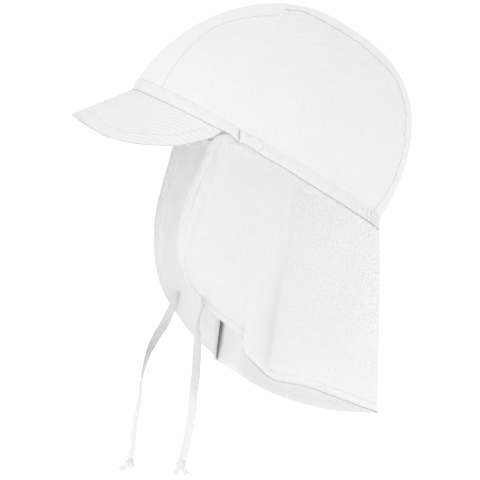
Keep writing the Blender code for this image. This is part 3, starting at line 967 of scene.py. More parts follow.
def seam_shade(off_seam, along):
    """Painted shade of the seam: dotted by its stitches in front, an open line behind."""
    behind = ramp(along - 0.34, 0.08)
    dots = 0.5 + 0.5 * math.cos(2 * math.pi * (along * CROWN_WALK) / SEAM_STITCH)
    uneven = 0.75 + 0.5 * ripple(along * 55, 9.0)
    depth = (0.24 + 0.62 * dots) * (1 - behind) + 0.80 * behind * min(max(uneven, 0.55), 1.1)
    return depth * bell(off_seam, SEAM_LINE + (SEAM_LINE_BEHIND - SEAM_LINE) * behind)


def rim_height(direction):
    """Height of a direction's point above the rim's plane."""
    return max(direction[2], 0.0) ** (2 / fullness(turn_of(direction))) * CROWN_HEIGHT


def cloth_relief(direction):
    """Relief that the crown shares with its band: soft dents, the casing's stitch line, gathers."""
    above = rim_height(direction) - BAND_HEIGHT
    place = Vector(direction) * 0.08
    dents = DENT_DEPTH * noise.noise(place * 24.0) + 0.00008 * noise.noise(place * 70.0)
    ditch = -STITCH_DITCH * bell(above, 0.00060)
    return dents + ditch + gathers(turn_of(direction), above)


def gathers(turn, above):
    """Puckers that the elastic draws, strongest beside the tucks and towards the nape."""
    past = from_front(turn) - PLAIN_TURN
    if past <= 0:
        return 0.0
    rise = ramp(past, math.radians(3.0))
    near_tuck = bell(past, math.radians(13.0))
    at_nape = bell(past - math.radians(88.0), math.radians(26.0))
    strength = 0.20 + 1.5 * near_tuck + 1.1 * at_nape
    level = math.exp(-max(above, 0.0) / 0.0028)
    wave = ripple(turn * 21, above * 60, 1.0) + 0.6 * ripple(turn * 47, above * 90, 2.0)
    return GATHER_DEPTH * rise * strength * level * wave


def stitch_shade(turn, above):
    """Painted shade in fine dashes along the casing's stitch line."""
    dash = 0.5 + 0.5 * math.cos(2 * math.pi * turn * RIM_RADIUS / SEAM_STITCH)
    patchy = min(max(0.55 + 0.9 * ripple(turn * 9, 6.0), 0.1), 1.0)
    return 0.10 * dash * patchy * bell(above, 0.0004)


def outer(direction, relief):
    """Point of the crown's cloth under its wall, with relief along the way outward."""
    return crown(direction, CLOTH - WALL + relief)


def crown_cloth(direction, off_seam, along, side):
    """Place of the crown's cloth, and the shade painted in its seams and stitches."""
    relief = cloth_relief(direction) + seam_relief(off_seam, along, side)
    above = rim_height(direction) - BAND_HEIGHT
    shade = max(seam_shade(off_seam, along), stitch_shade(turn_of(direction), above))
    return outer(direction, relief), (shade, 0.0)


def make_centre_strip():
    """Strip from the brow over the top to the nape."""
    corners = []
    for row in shares(STRIP_ROWS):
        line = []
        for step in shares(STRIP_COLUMNS):
            across = math.sin((2 * step - 1) * math.pi / 2)
            start, end = strip_end(0.0, across), strip_end(1.0, across)
            along = start + (end - start) * row
            half_width = seam_half_width(along)
            off_seam = (1 - abs(across)) * half_width * RIM_HALF_WIDTH
            direction = over_the_top(along, across * half_width)
            place, painted_shade = crown_cloth(direction, off_seam, along, 1 if across > 0 else -1)
            line.append((place, (across * half_width * RIM_HALF_WIDTH, along * CROWN_WALK), painted_shade))
        corners.append(line)
    strip = cloth_grid("crown_center_panel_cloth", corners)
    give_wall(strip, WALL)
    return strip


def make_side_panel(name, side):
    """Side of the crown from the band up to the strip's seam: side is 1 on the left, -1 right."""
    start, end = strip_end(0.0, 1.0), strip_end(1.0, 1.0)
    first_turn = turn_of(over_the_top(start, seam_half_width(start)))
    last_turn = turn_of(over_the_top(end, seam_half_width(end)))
    corners = []
    for row in shares(SIDE_ROWS):
        line = []
        height = (1 - math.cos(row * math.pi)) / 2
        for step in shares(STRIP_ROWS):
            along = step if side > 0 else 1 - step
            low = at_height(first_turn + (last_turn - first_turn) * along, BAND_HEIGHT)
            over = start + (end - start) * along
            high = over_the_top(over, seam_half_width(over))
            back, left, up = between(low, high, height)
            off_seam = (1 - height) * Vector(low).angle(Vector(high)) * CROWN_RADIUS
            place, painted_shade = crown_cloth((back, side * left, up), off_seam, over, side)
            warp = WARP_WANDER * noise.noise(place * 9.0 + Vector((side, 0.0, 0.0)))
            weft = WARP_WANDER * noise.noise(place * 9.0 + Vector((0.0, side, 5.0)))
            line.append((place, (place.y + warp, place.z + 0.25 * abs(place.x) + weft), painted_shade))
        corners.append(line)
    panel = cloth_grid(name + "_cloth", corners)
    give_wall(panel, WALL)
    return panel


crown_cotton = cotton("crown_cotton", 0.907, WEAVE_PITCH, gap_tone=0.10, turn=math.radians(4.0),
                      relief=0.00009, glow=0.0)
strip_cotton = cotton("strip_cotton", 0.907, WEAVE_PITCH, gap_tone=0.06, turn=math.radians(4.0),
                      relief=0.00006, glow=0.0)
strip = make_centre_strip()
strip.data.materials.append(strip_cotton)
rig.ride(strip, "root")
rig.slot(strip, "crown_cotton")
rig.replaces(strip, "crown_center_panel")
for name, side in (("crown_side_left", 1.0), ("crown_side_right", -1.0)):
    panel = make_side_panel(name, side)
    panel.data.materials.append(crown_cotton)
    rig.ride(panel, "root")
    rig.slot(panel, "crown_cotton")
    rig.replaces(panel, name)


# Rim band. The crown's edge is turned in over a casing and topstitched: it lies plain over the
# peak, a tuck marks where the elastic starts on each side, and the cloth is gathered behind.
BAND_ROWS = 16
TUCK_TURN = math.radians(73.8)
TUCK_LEAN = math.radians(2.5)
TUCK_DEPTH = 0.0010
TUCK_WIDTH = 0.00068
# Painted shade in the middle of a tuck
TUCK_DARK = 0.98
# Turn in degrees from which the band's edge rolls in more and the gap under it has more painted shade
OPEN_TURN = 64.0
# Height by which the seam under the band is drawn up, in millimetres, by the turn in degrees
SEAM_LIFT = (
    # turn lift
    (0.0, 0.0),
    (29.5, 0.0),
    (45.0, 0.4),
    (60.0, 0.8),
    (65.5, 1.2),
    (68.9, 1.8),
    (71.0, 1.1),
    (73.9, 0.0),
    (76.0, 0.7),
    (78.0, 1.2),
    (81.0, 0.7),
    (85.0, 0.2),
    (95.0, 0.5),
    (105.0, 0.0),
    (180.0, 0.0),
)

# Creases of the gathered band, painted as shade only: turn in degrees, half-width in metres,
# painted shade, and from where to where they run, in shares of the band's height
BAND_CREASES = (
    (75.3, 0.00050, 0.16, 0.55, 1.00),
    (76.8, 0.00050, 0.12, 0.70, 1.00),
    (79.5, 0.00060, 0.04, 0.10, 0.60),
    (83.0, 0.00050, 0.17, 0.10, 0.75),
    (86.0, 0.00060, 0.04, 0.40, 1.00),
    (92.0, 0.00070, 0.03, 0.10, 0.80),
    (104.0, 0.00070, 0.03, 0.30, 1.00),
    (119.0, 0.00070, 0.04, 0.20, 1.00),
    (128.0, 0.00060, 0.06, 0.50, 1.00),
    (134.0, 0.00060, 0.07, 0.30, 0.90),
    (139.5, 0.00055, 0.09, 0.40, 1.00),
    (144.5, 0.00055, 0.14, 0.10, 1.00),
    (148.5, 0.00045, 0.40, 0.00, 1.00),
    (156.0, 0.00060, 0.15, 0.00, 1.00),
    (165.0, 0.00060, 0.10, 0.10, 0.90),
    (174.0, 0.00060, 0.12, 0.00, 1.00),
)


def band_crease(turn, height):
    """Painted shade of the band's creases at a turn and height."""
    part = height / BAND_HEIGHT
    round_turn = from_front(turn)
    shade = 0.0
    for at, width, depth, low, high in BAND_CREASES:
        if low - 0.1 < part < high + 0.1:
            ends = min(1.0, (part - low + 0.1) / 0.2, (high + 0.1 - part) / 0.2)
            off = (round_turn - math.radians(at + 1.2 * ripple(part * 3, at))) * RIM_RADIUS
            shade = max(shade, depth * ends * bell(off, width))
    return shade


def band_turns():
    """Turns of the band's columns, close together at the two tucks."""
    turns = [math.radians(step * 0.5) for step in range(-360, 361)]
    for side in (-1, 1):
        middle = side * (TUCK_TURN - TUCK_LEAN / 2)
        turns += [middle + math.radians(0.09 * step) for step in range(-26, 27)]
    return sorted(turns)


def tuck(turn, height):
    """Lens-shaped tuck across the band, from 0 beside it to 1 in its middle."""
    part = height / BAND_HEIGHT
    off = (from_front(turn) - TUCK_TURN + TUCK_LEAN * part) * RIM_RADIUS
    open_here = math.sin(math.pi * ramp(part - 0.04, 0.94)) ** 0.5
    return bell(off, TUCK_WIDTH * (0.35 + 0.65 * open_here)) * open_here


def seam_lift(turn):
    """Way up from the rim line to the wavy seam under the band."""
    return UP_RIM * (column(SEAM_LIFT, math.degrees(from_front(turn)), 1) / 1000)


def band_relief(turn, height):
    """Relief of the band alone: rolled lower edge, the casing's soft swell and the tucks."""
    past_peak = ramp(from_front(turn) - math.radians(OPEN_TURN), 0.1)
    roll = -(0.00010 + 0.00025 * past_peak) * bell(height, 0.00050)
    swell = 0.00022 * math.sin(math.pi * height / BAND_HEIGHT) ** 2
    return roll + swell - TUCK_DEPTH * tuck(turn, height)


def rim_shade(turn, off):
    """Painted shade of the narrow gap under the band, strongest beside and behind the tucks."""
    round_turn = from_front(turn)
    strength = 0.07 + 0.22 * ramp(round_turn - math.radians(OPEN_TURN), math.radians(6.0))
    strength += 0.10 * ramp(round_turn - math.radians(82.0), math.radians(10.0))
    strength *= 0.85 + 0.30 * ripple(turn * 40, 5.0)
    return strength * bell(off, 0.00026)


def make_band():
    """Band round the rim, its lower edge drawn up to the seam."""
    turns = band_turns()
    corners = []
    for row in shares(BAND_ROWS):
        line = []
        height = BAND_HEIGHT * (1 - math.cos(math.pi * row)) / 2
        for turn in turns:
            direction = at_height(turn, height)
            relief = cloth_relief(direction) + band_relief(turn, height)
            place = outer(direction, relief) + seam_lift(turn) * (1 - height / BAND_HEIGHT) ** 2
            # Painted shade of the gap under the band, the stitches, the creases and the tuck
            shade = max(rim_shade(turn, height), stitch_shade(turn, height - BAND_HEIGHT),
                        band_crease(turn, height), TUCK_DARK * tuck(turn, height))
            line.append((place, (turn * RIM_RADIUS, height), (shade, 0.0)))
        corners.append(line)
    band = cloth_grid("rim_band_cloth", corners, closed=True)
    give_wall(band, WALL)
    return band


band_cotton = cotton("band_cotton", 0.898, WEAVE_PITCH, gap_tone=0.12, glow=0.0)
band = make_band()
band.data.materials.append(band_cotton)
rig.ride(band, "root")
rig.slot(band, "band_cotton")
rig.replaces(band, "rim_band")


# Peak. Two layers of cotton over a stiffener, turned and topstitched along the edge, sewn under
# the front of the band. It arches over the brow.
SEAM_GAP = 0.0003
PEAK_TURN = math.radians(65.5)
PEAK_REACH = 0.0360
PEAK_SLOPE = math.radians(21.7)
PEAK_ARCH = 0.0170
PEAK_ROUNDNESS = 0.75
PEAK_END_RISE = 6
PEAK_THICKNESS = 0.0014
PEAK_STITCH_INSET = 0.0070
PEAK_ROWS = 44
PEAK_COLUMNS = 220
PEAK_DITCH = 0.00010
PEAK_DENTS = 0.00025
PEAK_EDGE_RADIUS = 0.0005
PEAK_STITCH = 0.0021
# How far the peak's edge lies below its front line, all round and more towards its ends
EDGE_DROP = 0.0006
END_DROP = 0.0018
PEAK_DROOP = (
    # across left   right
    (-0.13, 0.00, 0.04),
    (0.00, 0.00, 0.00),
    (0.13, 0.04, 0.00),
    (0.25, 0.21, 0.08),
    (0.37, 0.50, 0.29),
    (0.50, 0.76, 0.55),
    (0.62, 0.91, 0.82),
    (0.74, 0.98, 0.94),
    (0.86, 0.95, 0.95),
    (0.95, 0.79, 0.79),
    (1.00, 0.63, 0.63),
)


def rim(turn, below=0.0, proud=0.0):
    """Point of the rim, or of the line that runs a little below it."""
    return crown((-math.cos(turn), math.sin(turn), 0.0), proud) - below * UP_RIM


def peak_point(across, ahead):
    """Point of the peak's upper face: across from -1 right to 1 left, ahead from 0 to 1."""
    rear = rim(PEAK_TURN * across, SEAM_GAP, CLOTH)
    nose = rim(0.0, SEAM_GAP, CLOTH)
    end = rim(PEAK_TURN, SEAM_GAP, CLOTH)
    out = max(math.cos(math.pi / 2 * across), 0.0) ** PEAK_ROUNDNESS
    droop = column(PEAK_DROOP, abs(across), 1 if across > 0 else 2)
    front_y = end.y + (nose.y - PEAK_REACH - end.y) * out
    front_z = nose.z - PEAK_REACH * math.tan(PEAK_SLOPE) - PEAK_ARCH * droop
    front = Vector((rear.x, front_y, front_z + (end.z - front_z) * (1 - out) ** PEAK_END_RISE))
    droopy = ramp(abs(across) - 0.70, 0.24)
    corner = ramp(1.0 - abs(across), 0.014)
    front.z -= EDGE_DROP * corner + END_DROP * droopy**2 * (3 - 2 * droopy) * corner
    return rear.lerp(front, ahead) + seam_lift(PEAK_TURN * across) * (1 - ahead) ** 2


def make_peak():
    """Peak's cloth, and the stitch line on its upper face."""
    aheads = [math.sin(row * math.pi / 2) ** 1.15 for row in shares(PEAK_ROWS)]
    acrosses = [math.sin((2 * step - 1) * math.pi / 2) for step in shares(PEAK_COLUMNS)]
    grid = [[peak_point(across, ahead) for across in acrosses] for ahead in aheads]
    edge = np.array([tuple(point) for point in grid[-1]])
    walk = np.concatenate(([0.0], np.cumsum(np.linalg.norm(np.diff(edge, axis=0), axis=1))))
    corners = []
    for row in grid:
        line = []
        for across, point in zip(acrosses, row):
            gaps = np.linalg.norm(edge - np.array(tuple(point)), axis=1)
            nearest = int(np.argmin(gaps))
            to_edge = float(gaps[nearest])
            to_seam = (point - peak_point(across, 0.0)).length
            ditch = PEAK_DITCH * bell(to_edge - PEAK_STITCH_INSET, 0.0008)
            dents = PEAK_DENTS * noise.noise(point * 60.0)
            # Painted shade along the edge and beside the seam under the band, on the face and the lining
            edge_shade = 0.15 * bell(to_edge, 0.0003)
            line.append((point - Vector((0.0, 0.0, ditch + abs(dents))),
                         (point.x, point.y),
                         (max(0.03 * bell(to_seam, 0.0003), edge_shade),
                          max(0.10 * bell(to_seam, 0.0003), edge_shade)),
                         (float(walk[nearest]), to_edge - PEAK_STITCH_INSET)))
        corners.append(line)
    arc = []
    for c in range(len(acrosses)):
        offs = [line[c][3][1] for line in corners]
        crossings = [r for r in range(1, len(offs)) if offs[r - 1] > 0 >= offs[r]]
        if crossings:
            r = crossings[0]
            share = offs[r] / (offs[r] - offs[r - 1])
            arc.append(corners[r][c][0].lerp(corners[r - 1][c][0], share))
    peak = cloth_grid("peak_cloth", corners, closed=True)
    give_wall(peak, PEAK_THICKNESS)
    rounded = peak.modifiers.new("Turned edge", "BEVEL")
    rounded.width = PEAK_EDGE_RADIUS
    rounded.segments = 3
    rounded.limit_method = "ANGLE"
    bpy.ops.object.modifier_apply(modifier="Turned edge")
    bpy.ops.object.shade_smooth_by_angle(angle=math.radians(50.0))
    return peak, arc


peak_cotton = cotton("peak_cotton", 0.90, WEAVE_PITCH, turn=math.radians(35.0), glow=0.0,
                     stitch_pitch=PEAK_STITCH, hole_shade=0.98)
peak, peak_arc = make_peak()
peak.data.materials.append(peak_cotton)
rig.ride(peak, "root")
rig.slot(peak, "peak_cotton")
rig.replaces(peak, "peak")


# Neck flap. One layer of cotton gathered a little into the band's seam, from behind one end of
# the peak round to the other, its front edges and hem turned up and topstitched. It hangs in
# soft folds.
FLAP_TURN = math.radians(68.9)
FLAP_LENGTH = 0.1075
FLAP_HALF_WIDTH = 0.0550
FLAP_BACK = 0.0728
EDGE_BOW = 0.0146
BOW_START = 0.60
BOW_GROWTH = 1.3
SEAM_BEND = 0.0040
FOLD_AXIS = -0.0080
FOLD_START = 0.15
FOLD_GROWTH = 1.5
HEM_INSET = 0.0052
FLAP_WALL = 0.0008
FLAP_STITCH = 0.0020
STITCH_ABOVE_HEM = 0.0005
GATHER_RELIEF = 0.0011
HEM_STEP = 0.00016
FOLD_PUSH = 0.0040
NAPE_SWELL = 0.0012
# Rough way round the flap from the nape to a front edge, for creases and folds
ROUND_WAY = 0.150
HEM = (
    # share  aside  back    left   right
    (-0.10, -0.320, 0.945, 1.012, 0.988),
    (0.00, 0.000, 0.990, 1.003, 1.003),
    (0.10, 0.320, 0.945, 0.988, 1.012),
    (0.24, 0.700, 0.735, 0.939, 1.009),
    (0.34, 0.900, 0.530, 0.886, 0.980),
    (0.45, 0.980, 0.288, 0.823, 0.921),
    (0.56, 1.000, 0.026, 0.781, 0.822),
    (0.67, 0.975, -0.170, 0.670, 0.732),
    (0.77, 0.930, -0.216, 0.553, 0.694),
    (0.88, 0.885, -0.405, 0.448, 0.579),
    (1.00, 0.820, -0.614, 0.298, 0.383),
)
FRONT_EDGE = (
    # down  inward left   right
    (0.00, 0.00, 0.00, 0.00),
    (0.004, 0.02, 0.34, 0.20),
    (0.012, 0.06, 0.48, 0.38),
    (0.03, 0.16, 0.54, 0.55),
    (0.09, 0.42, 0.62, 0.82),
    (0.18, 0.52, 0.72, 0.93),
    (0.30, 0.58, 0.88, 1.05),
    (0.43, 0.64, 0.97, 1.14),
    (0.60, 0.55, 0.98, 1.06),
    (0.77, 0.36, 0.80, 0.80),
    (0.90, 0.18, 0.43, 0.43),
    (1.00, 0.00, 0.00, 0.00),
)
FOLDS = (
    # side at_rim at_hem half_width top     bottom
    (1.0, 0.760, 0.665, 0.085, 0.000, 0.118),
    (1.0, 0.640, 0.530, 0.110, -0.030, -0.060),
    (1.0, 0.330, 0.300, 0.120, 0.000, 0.020),
    (-1.0, 0.760, 0.665, 0.085, 0.000, 0.110),
    (-1.0, 0.640, 0.540, 0.110, -0.020, -0.050),
    (-1.0, 0.300, 0.280, 0.120, 0.000, 0.025),
    (1.0, 0.000, 0.020, 0.120, 0.000, -0.018),
)
# Way of the soft crease behind each front hem, sunk in relief and darkened with painted shade, in shares of the way
# round
FRONT_CREASE = (
    # down  around
    (0.00, 0.985),
    (0.06, 0.972),
    (0.16, 0.962),
    (0.26, 0.957),
    (0.42, 0.952),
    (0.58, 0.962),
    (0.75, 0.972),
    (1.00, 0.985),
)
# Soft creases in the lining beside the deep fold of the right half, painted as shade only: place,
# half-width and shade
LINING_CREASES = (
    (0.806, 0.0017, 0.130),
    (0.784, 0.0011, 0.110),
    (0.835, 0.0016, 0.030),
)
# Flank of the main fold, whose crest and foot lie either side of it, and the shade painted on it
FOLD_FLANK = (
    # down  around shade
    (0.00, 0.700, 0.000),
    (0.06, 0.690, 0.020),
    (0.19, 0.672, 0.055),
    (0.36, 0.644, 0.105),
    (0.53, 0.638, 0.155),
    (0.67, 0.625, 0.190),
    (0.82, 0.608, 0.205),
    (0.93, 0.600, 0.190),
    (1.00, 0.596, 0.070),
)
# Small tucks in the hem of the left half: place, depth and half-width
HEM_TUCKS = (
    (0.617, 0.0009, 0.0009),
    (0.595, 0.0006, 0.0008),
    (0.283, 0.0005, 0.0007),
    (0.320, 0.0004, 0.0016),
    (0.725, 0.0003, 0.0009),
)


def hem_point(around):
    """Point of the flap's hem before its folds: around from -1 right to 1 left."""
    side = 1 if around > 0 else -1
    share = abs(around)
    depth = column(HEM, share, 3 if side > 0 else 4)
    return Vector((side * FLAP_HALF_WIDTH * column(HEM, share, 1),
                   FLAP_BACK * column(HEM, share, 2) + RIM_CENTRE.y,
                   rim(math.pi).z - FLAP_LENGTH * depth))


def flap_turn(around):
    """Turn round the rim at which a share of the way round the flap hangs."""
    return math.pi - (math.pi - FLAP_TURN) * around


def hanging_cloth(around, down):
    """Point of the flap before its folds."""
    top = rim(flap_turn(around), SEAM_GAP)
    fall = hem_point(around) - top
    point = top + fall * down
    run = fall.length * down
    point += run * math.exp(-run / SEAM_BEND) * (-UP_RIM - fall.normalized())
    bow = EDGE_BOW * (max(abs(around) - BOW_START, 0.0) / (1 - BOW_START)) ** BOW_GROWTH
    side = 1 if around > 0 else -1
    point.x -= side * bow * column(FRONT_EDGE, down, 1)
    point.y -= bow * column(FRONT_EDGE, down, 2 if side > 0 else 3)
    return point + seam_lift(flap_turn(around)) * math.exp(-run / 0.008)


def flap_point(around, down):
    """Point of the flap's inner face with its folds, and the way outward there."""
    point = hanging_cloth(around, down)
    outward = Vector((point.x, point.y - RIM_CENTRE.y - FOLD_AXIS, 0.0)).normalized()
    for side, at_rim, at_hem, half_width, top, bottom in FOLDS:
        off = (side * around - at_rim - (at_hem - at_rim) * down) / half_width
        if abs(off) < 1:
            depth = (top + (bottom - top) * down**FOLD_GROWTH) * min(down / FOLD_START, 1.0)
            point += outward * FLAP_HALF_WIDTH * depth * math.cos(math.pi / 2 * off) ** 2
    return point, outward


def flap_downs():
    """Rows of the flap, close together under the band and along the hem."""
    top = [0.0, 0.0015, 0.003, 0.0045, 0.0065, 0.009, 0.013, 0.018]
    middle = [0.018 + (0.925 - 0.018) * share for share in shares(74)][1:]
    hem = [0.925 + 0.055 * share for share in shares(18)][1:]
    return top + middle + hem + [0.985, 0.99, 0.995, 1.0]


def flap_arounds():
    """Columns of the flap, close together along the front hems, the deep fold and the tape's slot."""
    half = [0.93 * share for share in shares(122)] + [0.93 + 0.07 * share for share in shares(26)][1:]
    deep = [0.66 + 0.09 * share for share in shares(30)] + [0.908 + 0.022 * share for share in shares(14)]
    right = sorted(set(round(a, 6) for a in half + deep))
    return [-a for a in reversed(right)] + half[1:]


def soft_minimum(first, second, blend=0.006):
    """Smaller of two distances, rounded where they are alike, as at the flap's corners."""
    gap = abs(first - second)
    return min(first, second) - max(blend - gap, 0.0) ** 2 / (4 * blend)


def deep_fold(around, down):
    """Sharp deep fold low in the right half, from 0 beside it to 1 in its middle."""
    off = (-around - 0.690 + 0.026 * (down - 0.8) / 0.2) * ROUND_WAY
    length = ramp(down - 0.66, 0.10) * ramp(1.0 - down, 0.015)
    width = 0.0009 + 0.0014 * (1 - down) / 0.22
    return math.exp(-((off / width) ** 4)) * length


def flap_pleats(around, below_seam, middle):
    """Small gathers under the band, from about -1 in a crease to 1 on its crest."""
    share = abs(around)
    strength = 0.22 + 0.95 * bell(share - 0.90, 0.07) + 0.35 * bell(share - 0.15, 0.12)
    wave = ripple(middle * 170, below_seam * 25, 4.0 if around > 0 else -4.0)
    return strength * (wave + 0.5 * ripple(middle * 420, 0.0, 6.0)) * math.exp(-below_seam / 0.0075)


def flap_relief(around, down, below_seam, off_edge, to_hem, point, middle):
    """Relief of the flap: gathers under the band, hems, stitch line, creases and folds."""
    share = abs(around)
    roll = -0.00035 * bell(below_seam, 0.0005)
    gathered = GATHER_RELIEF * flap_pleats(around, below_seam, middle)
    hem = HEM_STEP * (1 / (1 + math.exp((off_edge - HEM_INSET) / 0.00045)))
    ditch = -0.00006 * bell(off_edge - HEM_INSET + STITCH_ABOVE_HEM, 0.0006)
    tug = 0.00028 * ripple(middle * 230, point.z * 230, 8.0) * bell(off_edge - HEM_INSET, 0.004)
    crease_off = (share - column(FRONT_CREASE, down, 1)) * ROUND_WAY
    fade = ramp(0.95 - down, 0.35) * (1.0 if around > 0 else 0.2)
    crease = -0.00060 * fade * bell(crease_off, 0.0017) + 0.00045 * fade * bell(crease_off - 0.0032, 0.002)
    flank_off = (share - column(FOLD_FLANK, down, 1)) * ROUND_WAY
    crest_and_foot = 0.0010 * bell(flank_off - 0.0045, 0.0040) - 0.0011 * bell(flank_off + 0.0040, 0.0042)
    fold = ramp(down, 0.12) * crest_and_foot
    hem_tucks = 0.0
    for place, depth, width in HEM_TUCKS:
        hem_tucks -= depth * bell((around - place) * ROUND_WAY, width) * math.exp(-to_hem / 0.006)
    dents = 0.00040 * noise.noise(point * 22.0) + 0.00014 * noise.noise(point * 66.0)
    nape = NAPE_SWELL * bell(share, 0.30) * ramp(below_seam, 0.004)
    relief = roll + gathered + hem + ditch + tug + crease + fold + hem_tucks + dents + nape
    on_tape = share > 0.86 and down > 0.76
    return max(relief, 0.0001) if on_tape else relief


def flap_shade(around, down, below_seam, off_edge, middle):
    """Shade painted on the flap's outside and lining: seam, gathers, edges, creases, folds and slot."""
    seam = rim_shade(flap_turn(around), below_seam)
    # Painted shade in the creases of the gathers, along the edges and in a line under the near hem
    pleat = 0.07 * max(-flap_pleats(around, below_seam, middle), 0.0)
    edge = max(0.10 * bell(off_edge, 0.0003), 0.20 * bell(off_edge, 0.0022))
    under = 0.60 * ramp(0.82 - around, 0.06) * (around > 0) * bell(off_edge, 0.00065)
    # Painted shade on the main fold's flank and in the crease behind the front hem
    flank_off = (abs(around) - column(FOLD_FLANK, down, 1)) * ROUND_WAY
    flank = column(FOLD_FLANK, down, 2) * bell(flank_off, 0.0066 if flank_off > 0 else 0.0032)
    crease_off = (abs(around) - column(FRONT_CREASE, down, 1)) * ROUND_WAY
    crease = 0.050 * ramp(0.72 - down, 0.25) * bell(crease_off, 0.0016)
    # Painted shade, darker low on the flap away from its front edges, where less light reaches
    low = ramp(down - 0.30, 0.45) * ramp(0.80 - abs(around), 0.30)
    creases = 0.0
    if around < 0:
        ends = min(ramp(down - 0.70, 0.06), ramp(0.97 - down, 0.10))
        for place, width, shade in LINING_CREASES:
            creases += shade * bell((-around - place) * ROUND_WAY, width) * ends
    # Painted shade in the tape's slot, in the deep fold and in the lining's creases
    slot_off = (-around - 0.9155 - 0.1 * (down - 0.826)) * ROUND_WAY
    slot = 0.60 * bell(slot_off, 0.00040) * (0.825 < down < 0.893)
    lining = max(edge, under, slot, 0.82 * deep_fold(around, down), creases + 0.22 * low)
    return (max(seam, pleat, edge, 1.2 * under, crease + flank + 0.062 * low), lining)


def make_flap():
    """Flap's cloth, the length of its hem, its longest drop, its area and its stitch lines."""
    downs, arounds = flap_downs(), flap_arounds()
    bare = [[flap_point(around, down) for around in arounds] for down in downs]
    grid = np.array([[tuple(point) for point, outward in line] for line in bare])
    walk_down = np.zeros(grid.shape[:2])
    walk_down[1:] = np.cumsum(np.linalg.norm(np.diff(grid, axis=0), axis=2), axis=0)
    walk_round = np.zeros(grid.shape[:2])
    walk_round[:, 1:] = np.cumsum(np.linalg.norm(np.diff(grid, axis=1), axis=2), axis=1)
    middle = walk_round - walk_round[:, -1:] / 2
    corners = []
    for r, down in enumerate(downs):
        line = []
        for c, around in enumerate(arounds):
            point, outward = bare[r][c]
            below_seam, off_middle = float(walk_down[r, c]), float(middle[r, c])
            to_hem = float(walk_down[-1, c] - walk_down[r, c])
            to_front = float(min(walk_round[r, c], walk_round[r, -1] - walk_round[r, c]))
            off_edge = soft_minimum(to_hem, to_front)
            relief = flap_relief(around, down, below_seam, off_edge, to_hem, point, off_middle)
            relief += FOLD_PUSH * ramp(1 - down, 0.10) * deep_fold(around, down)
            along = off_middle if to_hem < to_front else below_seam + math.copysign(0.3, around)
            line.append((point + outward * relief,
                         (off_middle, below_seam),
                         flap_shade(around, down, below_seam, off_edge, off_middle),
                         (along, off_edge - HEM_INSET + STITCH_ABOVE_HEM)))
        corners.append(line)

    def off_stitches(r, c):
        return corners[r][c][3][1]

    lines = []
    last = len(arounds) - 1
    for front, inward in ((0, 1), (last, -1)):
        front_line = []
        for r in range(4, len(downs)):
            c = front
            while off_stitches(r, c) < 0 and 0 < c + inward < last:
                c += inward
            if off_stitches(r, c) >= 0:
                front_line.append(corners[r][c][0] + FLAP_WALL * bare[r][c][1])
        lines.append(front_line)
    hem_line = []
    for c in range(last + 1):
        r = len(downs) - 1
        while off_stitches(r, c) < 0 and r > 1:
            r -= 1
        off = off_stitches(r, c)
        if r > 0.5 * len(downs) and 0.0 < off < 0.0025:
            place = corners[r][c][0].lerp(corners[r + 1][c][0], off / (off - off_stitches(r + 1, c)))
            hem_line.append(place + FLAP_WALL * bare[r][c][1])
    lines.append(hem_line)
    flap = cloth_grid("neck_flap_cloth", corners)
    give_wall(flap, FLAP_WALL)
    area = float(np.sum(np.linalg.norm(np.cross(grid[1:, :-1] - grid[:-1, :-1],
                                                grid[:-1, 1:] - grid[:-1, :-1]), axis=2)))
    return flap, float(walk_round[-1, -1]), float(walk_down[-1].max()), area, lines


flap_cotton = cotton("flap_cotton", 0.966, WEAVE_PITCH, gap_tone=0.09, ribs=0.07,
                     stitch_pitch=FLAP_STITCH, hole_shade=0.92)
flap, hem_length, drop, flap_area, hem_lines = make_flap()
flap.data.materials.append(flap_cotton)
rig.ride(flap, "root")
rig.slot(flap, "flap_cotton")
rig.replaces(flap, "neck_flap")
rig.sheet(flap, flat=(round(hem_length, 3), round(drop, 3)), held="hung", rests_on=["rim_band"],
         area=round(min(flap_area, hem_length * drop), 4))


# Stitches. White cotton thread in even machine stitches: along the top of the band, round the
# peak's edge and along the flap's front edges and hem.
STITCH_LENGTH = 0.0014
STITCH_WIDTH = 0.00034
STITCH_PITCH = 0.0021
BAND_STOPS = 150
BAND_STITCH_BELOW = 0.0003
SUNK_IN_BAND = 0.00012
SUNK_IN_GATHERS = 0.00016
SUNK_IN_PEAK = 0.00012
SUNK_IN_FLAP = 0.00010


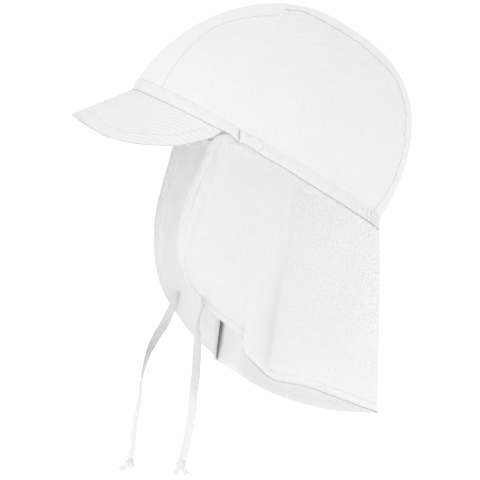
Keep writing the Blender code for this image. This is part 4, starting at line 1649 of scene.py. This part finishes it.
def lay_stitches(name, line, outward, slot_name, sunk=0.0):
    """Row of stitches along a line of places, each a bent thread that dips in at both ends."""
    bpy.ops.object.select_all(action="DESELECT")
    bpy.ops.mesh.primitive_uv_sphere_add(segments=6, ring_count=7, radius=0.5)
    pattern = bpy.context.object
    walked = walked_along(line)
    row = []
    step = 0
    for number in range(1, int(walked[-1] / STITCH_PITCH)):
        target = number * STITCH_PITCH
        while step < len(line) - 2 and walked[step + 1] < target:
            step += 1
        share = (target - walked[step]) / max(walked[step + 1] - walked[step], 1e-9)
        middle = line[step].lerp(line[step + 1], share)
        run = (line[min(step + 2, len(line) - 1)] - line[max(step - 1, 0)]).normalized()
        out = outward(middle, run)
        aside = out.cross(run)
        stitch = pattern.copy()
        stitch.data = pattern.data.copy()
        for corner in stitch.data.vertices:
            x, y, z = corner.co
            corner.co = (middle + z * STITCH_LENGTH * run + x * STITCH_WIDTH * aside
                         + (y * STITCH_WIDTH * 0.8 + STITCH_WIDTH * (0.25 - 2.2 * z * z) - sunk) * out)
        bpy.context.scene.collection.objects.link(stitch)
        row.append(stitch)
    bpy.data.objects.remove(pattern, do_unlink=True)
    join(row)
    row[0].name = name
    row[0].data.shade_smooth()
    row[0].data.materials.append(thread)
    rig.ride(row[0], "root")
    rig.slot(row[0], slot_name)


def away_from_axis(place, run):
    """Way out of the cap's side, square to the line."""
    return square_to(run, Vector((place.x, place.y - RIM_CENTRE.y, 0.15 * place.z)))


def up_from_peak(place, run):
    """Way up from the peak's face, square to the line."""
    return square_to(run, Vector((0.5 * place.x, -0.02, 0.06)))


thread = plain_cotton("thread_cotton", 0.90, 0.0005, glow=0.0012)
for side, sign in (("left", 1), ("right", -1)):
    band_line = []
    for share in shares(BAND_STOPS):
        turn = sign * (math.radians(2.0) + math.radians(176.0) * share)
        direction = at_height(turn, BAND_HEIGHT - BAND_STITCH_BELOW)
        sunk = SUNK_IN_BAND + SUNK_IN_GATHERS * ramp(abs(turn) - math.radians(80.0), 0.3)
        band_line.append(outer(direction, cloth_relief(direction) + WALL - sunk))
    lay_stitches(f"band_stitches_{side}", band_line, away_from_axis, "band_cotton")
lay_stitches("peak_stitches", peak_arc, up_from_peak, "peak_cotton", sunk=SUNK_IN_PEAK)
for name, line in zip(("front_right", "front_left", "hem"), hem_lines):
    lay_stitches(f"flap_stitches_{name}", line, away_from_axis, "flap_cotton", sunk=SUNK_IN_FLAP)

size = {"cad": cad_box, "visual": [list(corner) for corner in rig.bounds()]}
with open("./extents.json", "w") as size_file:
    json.dump(size, size_file)
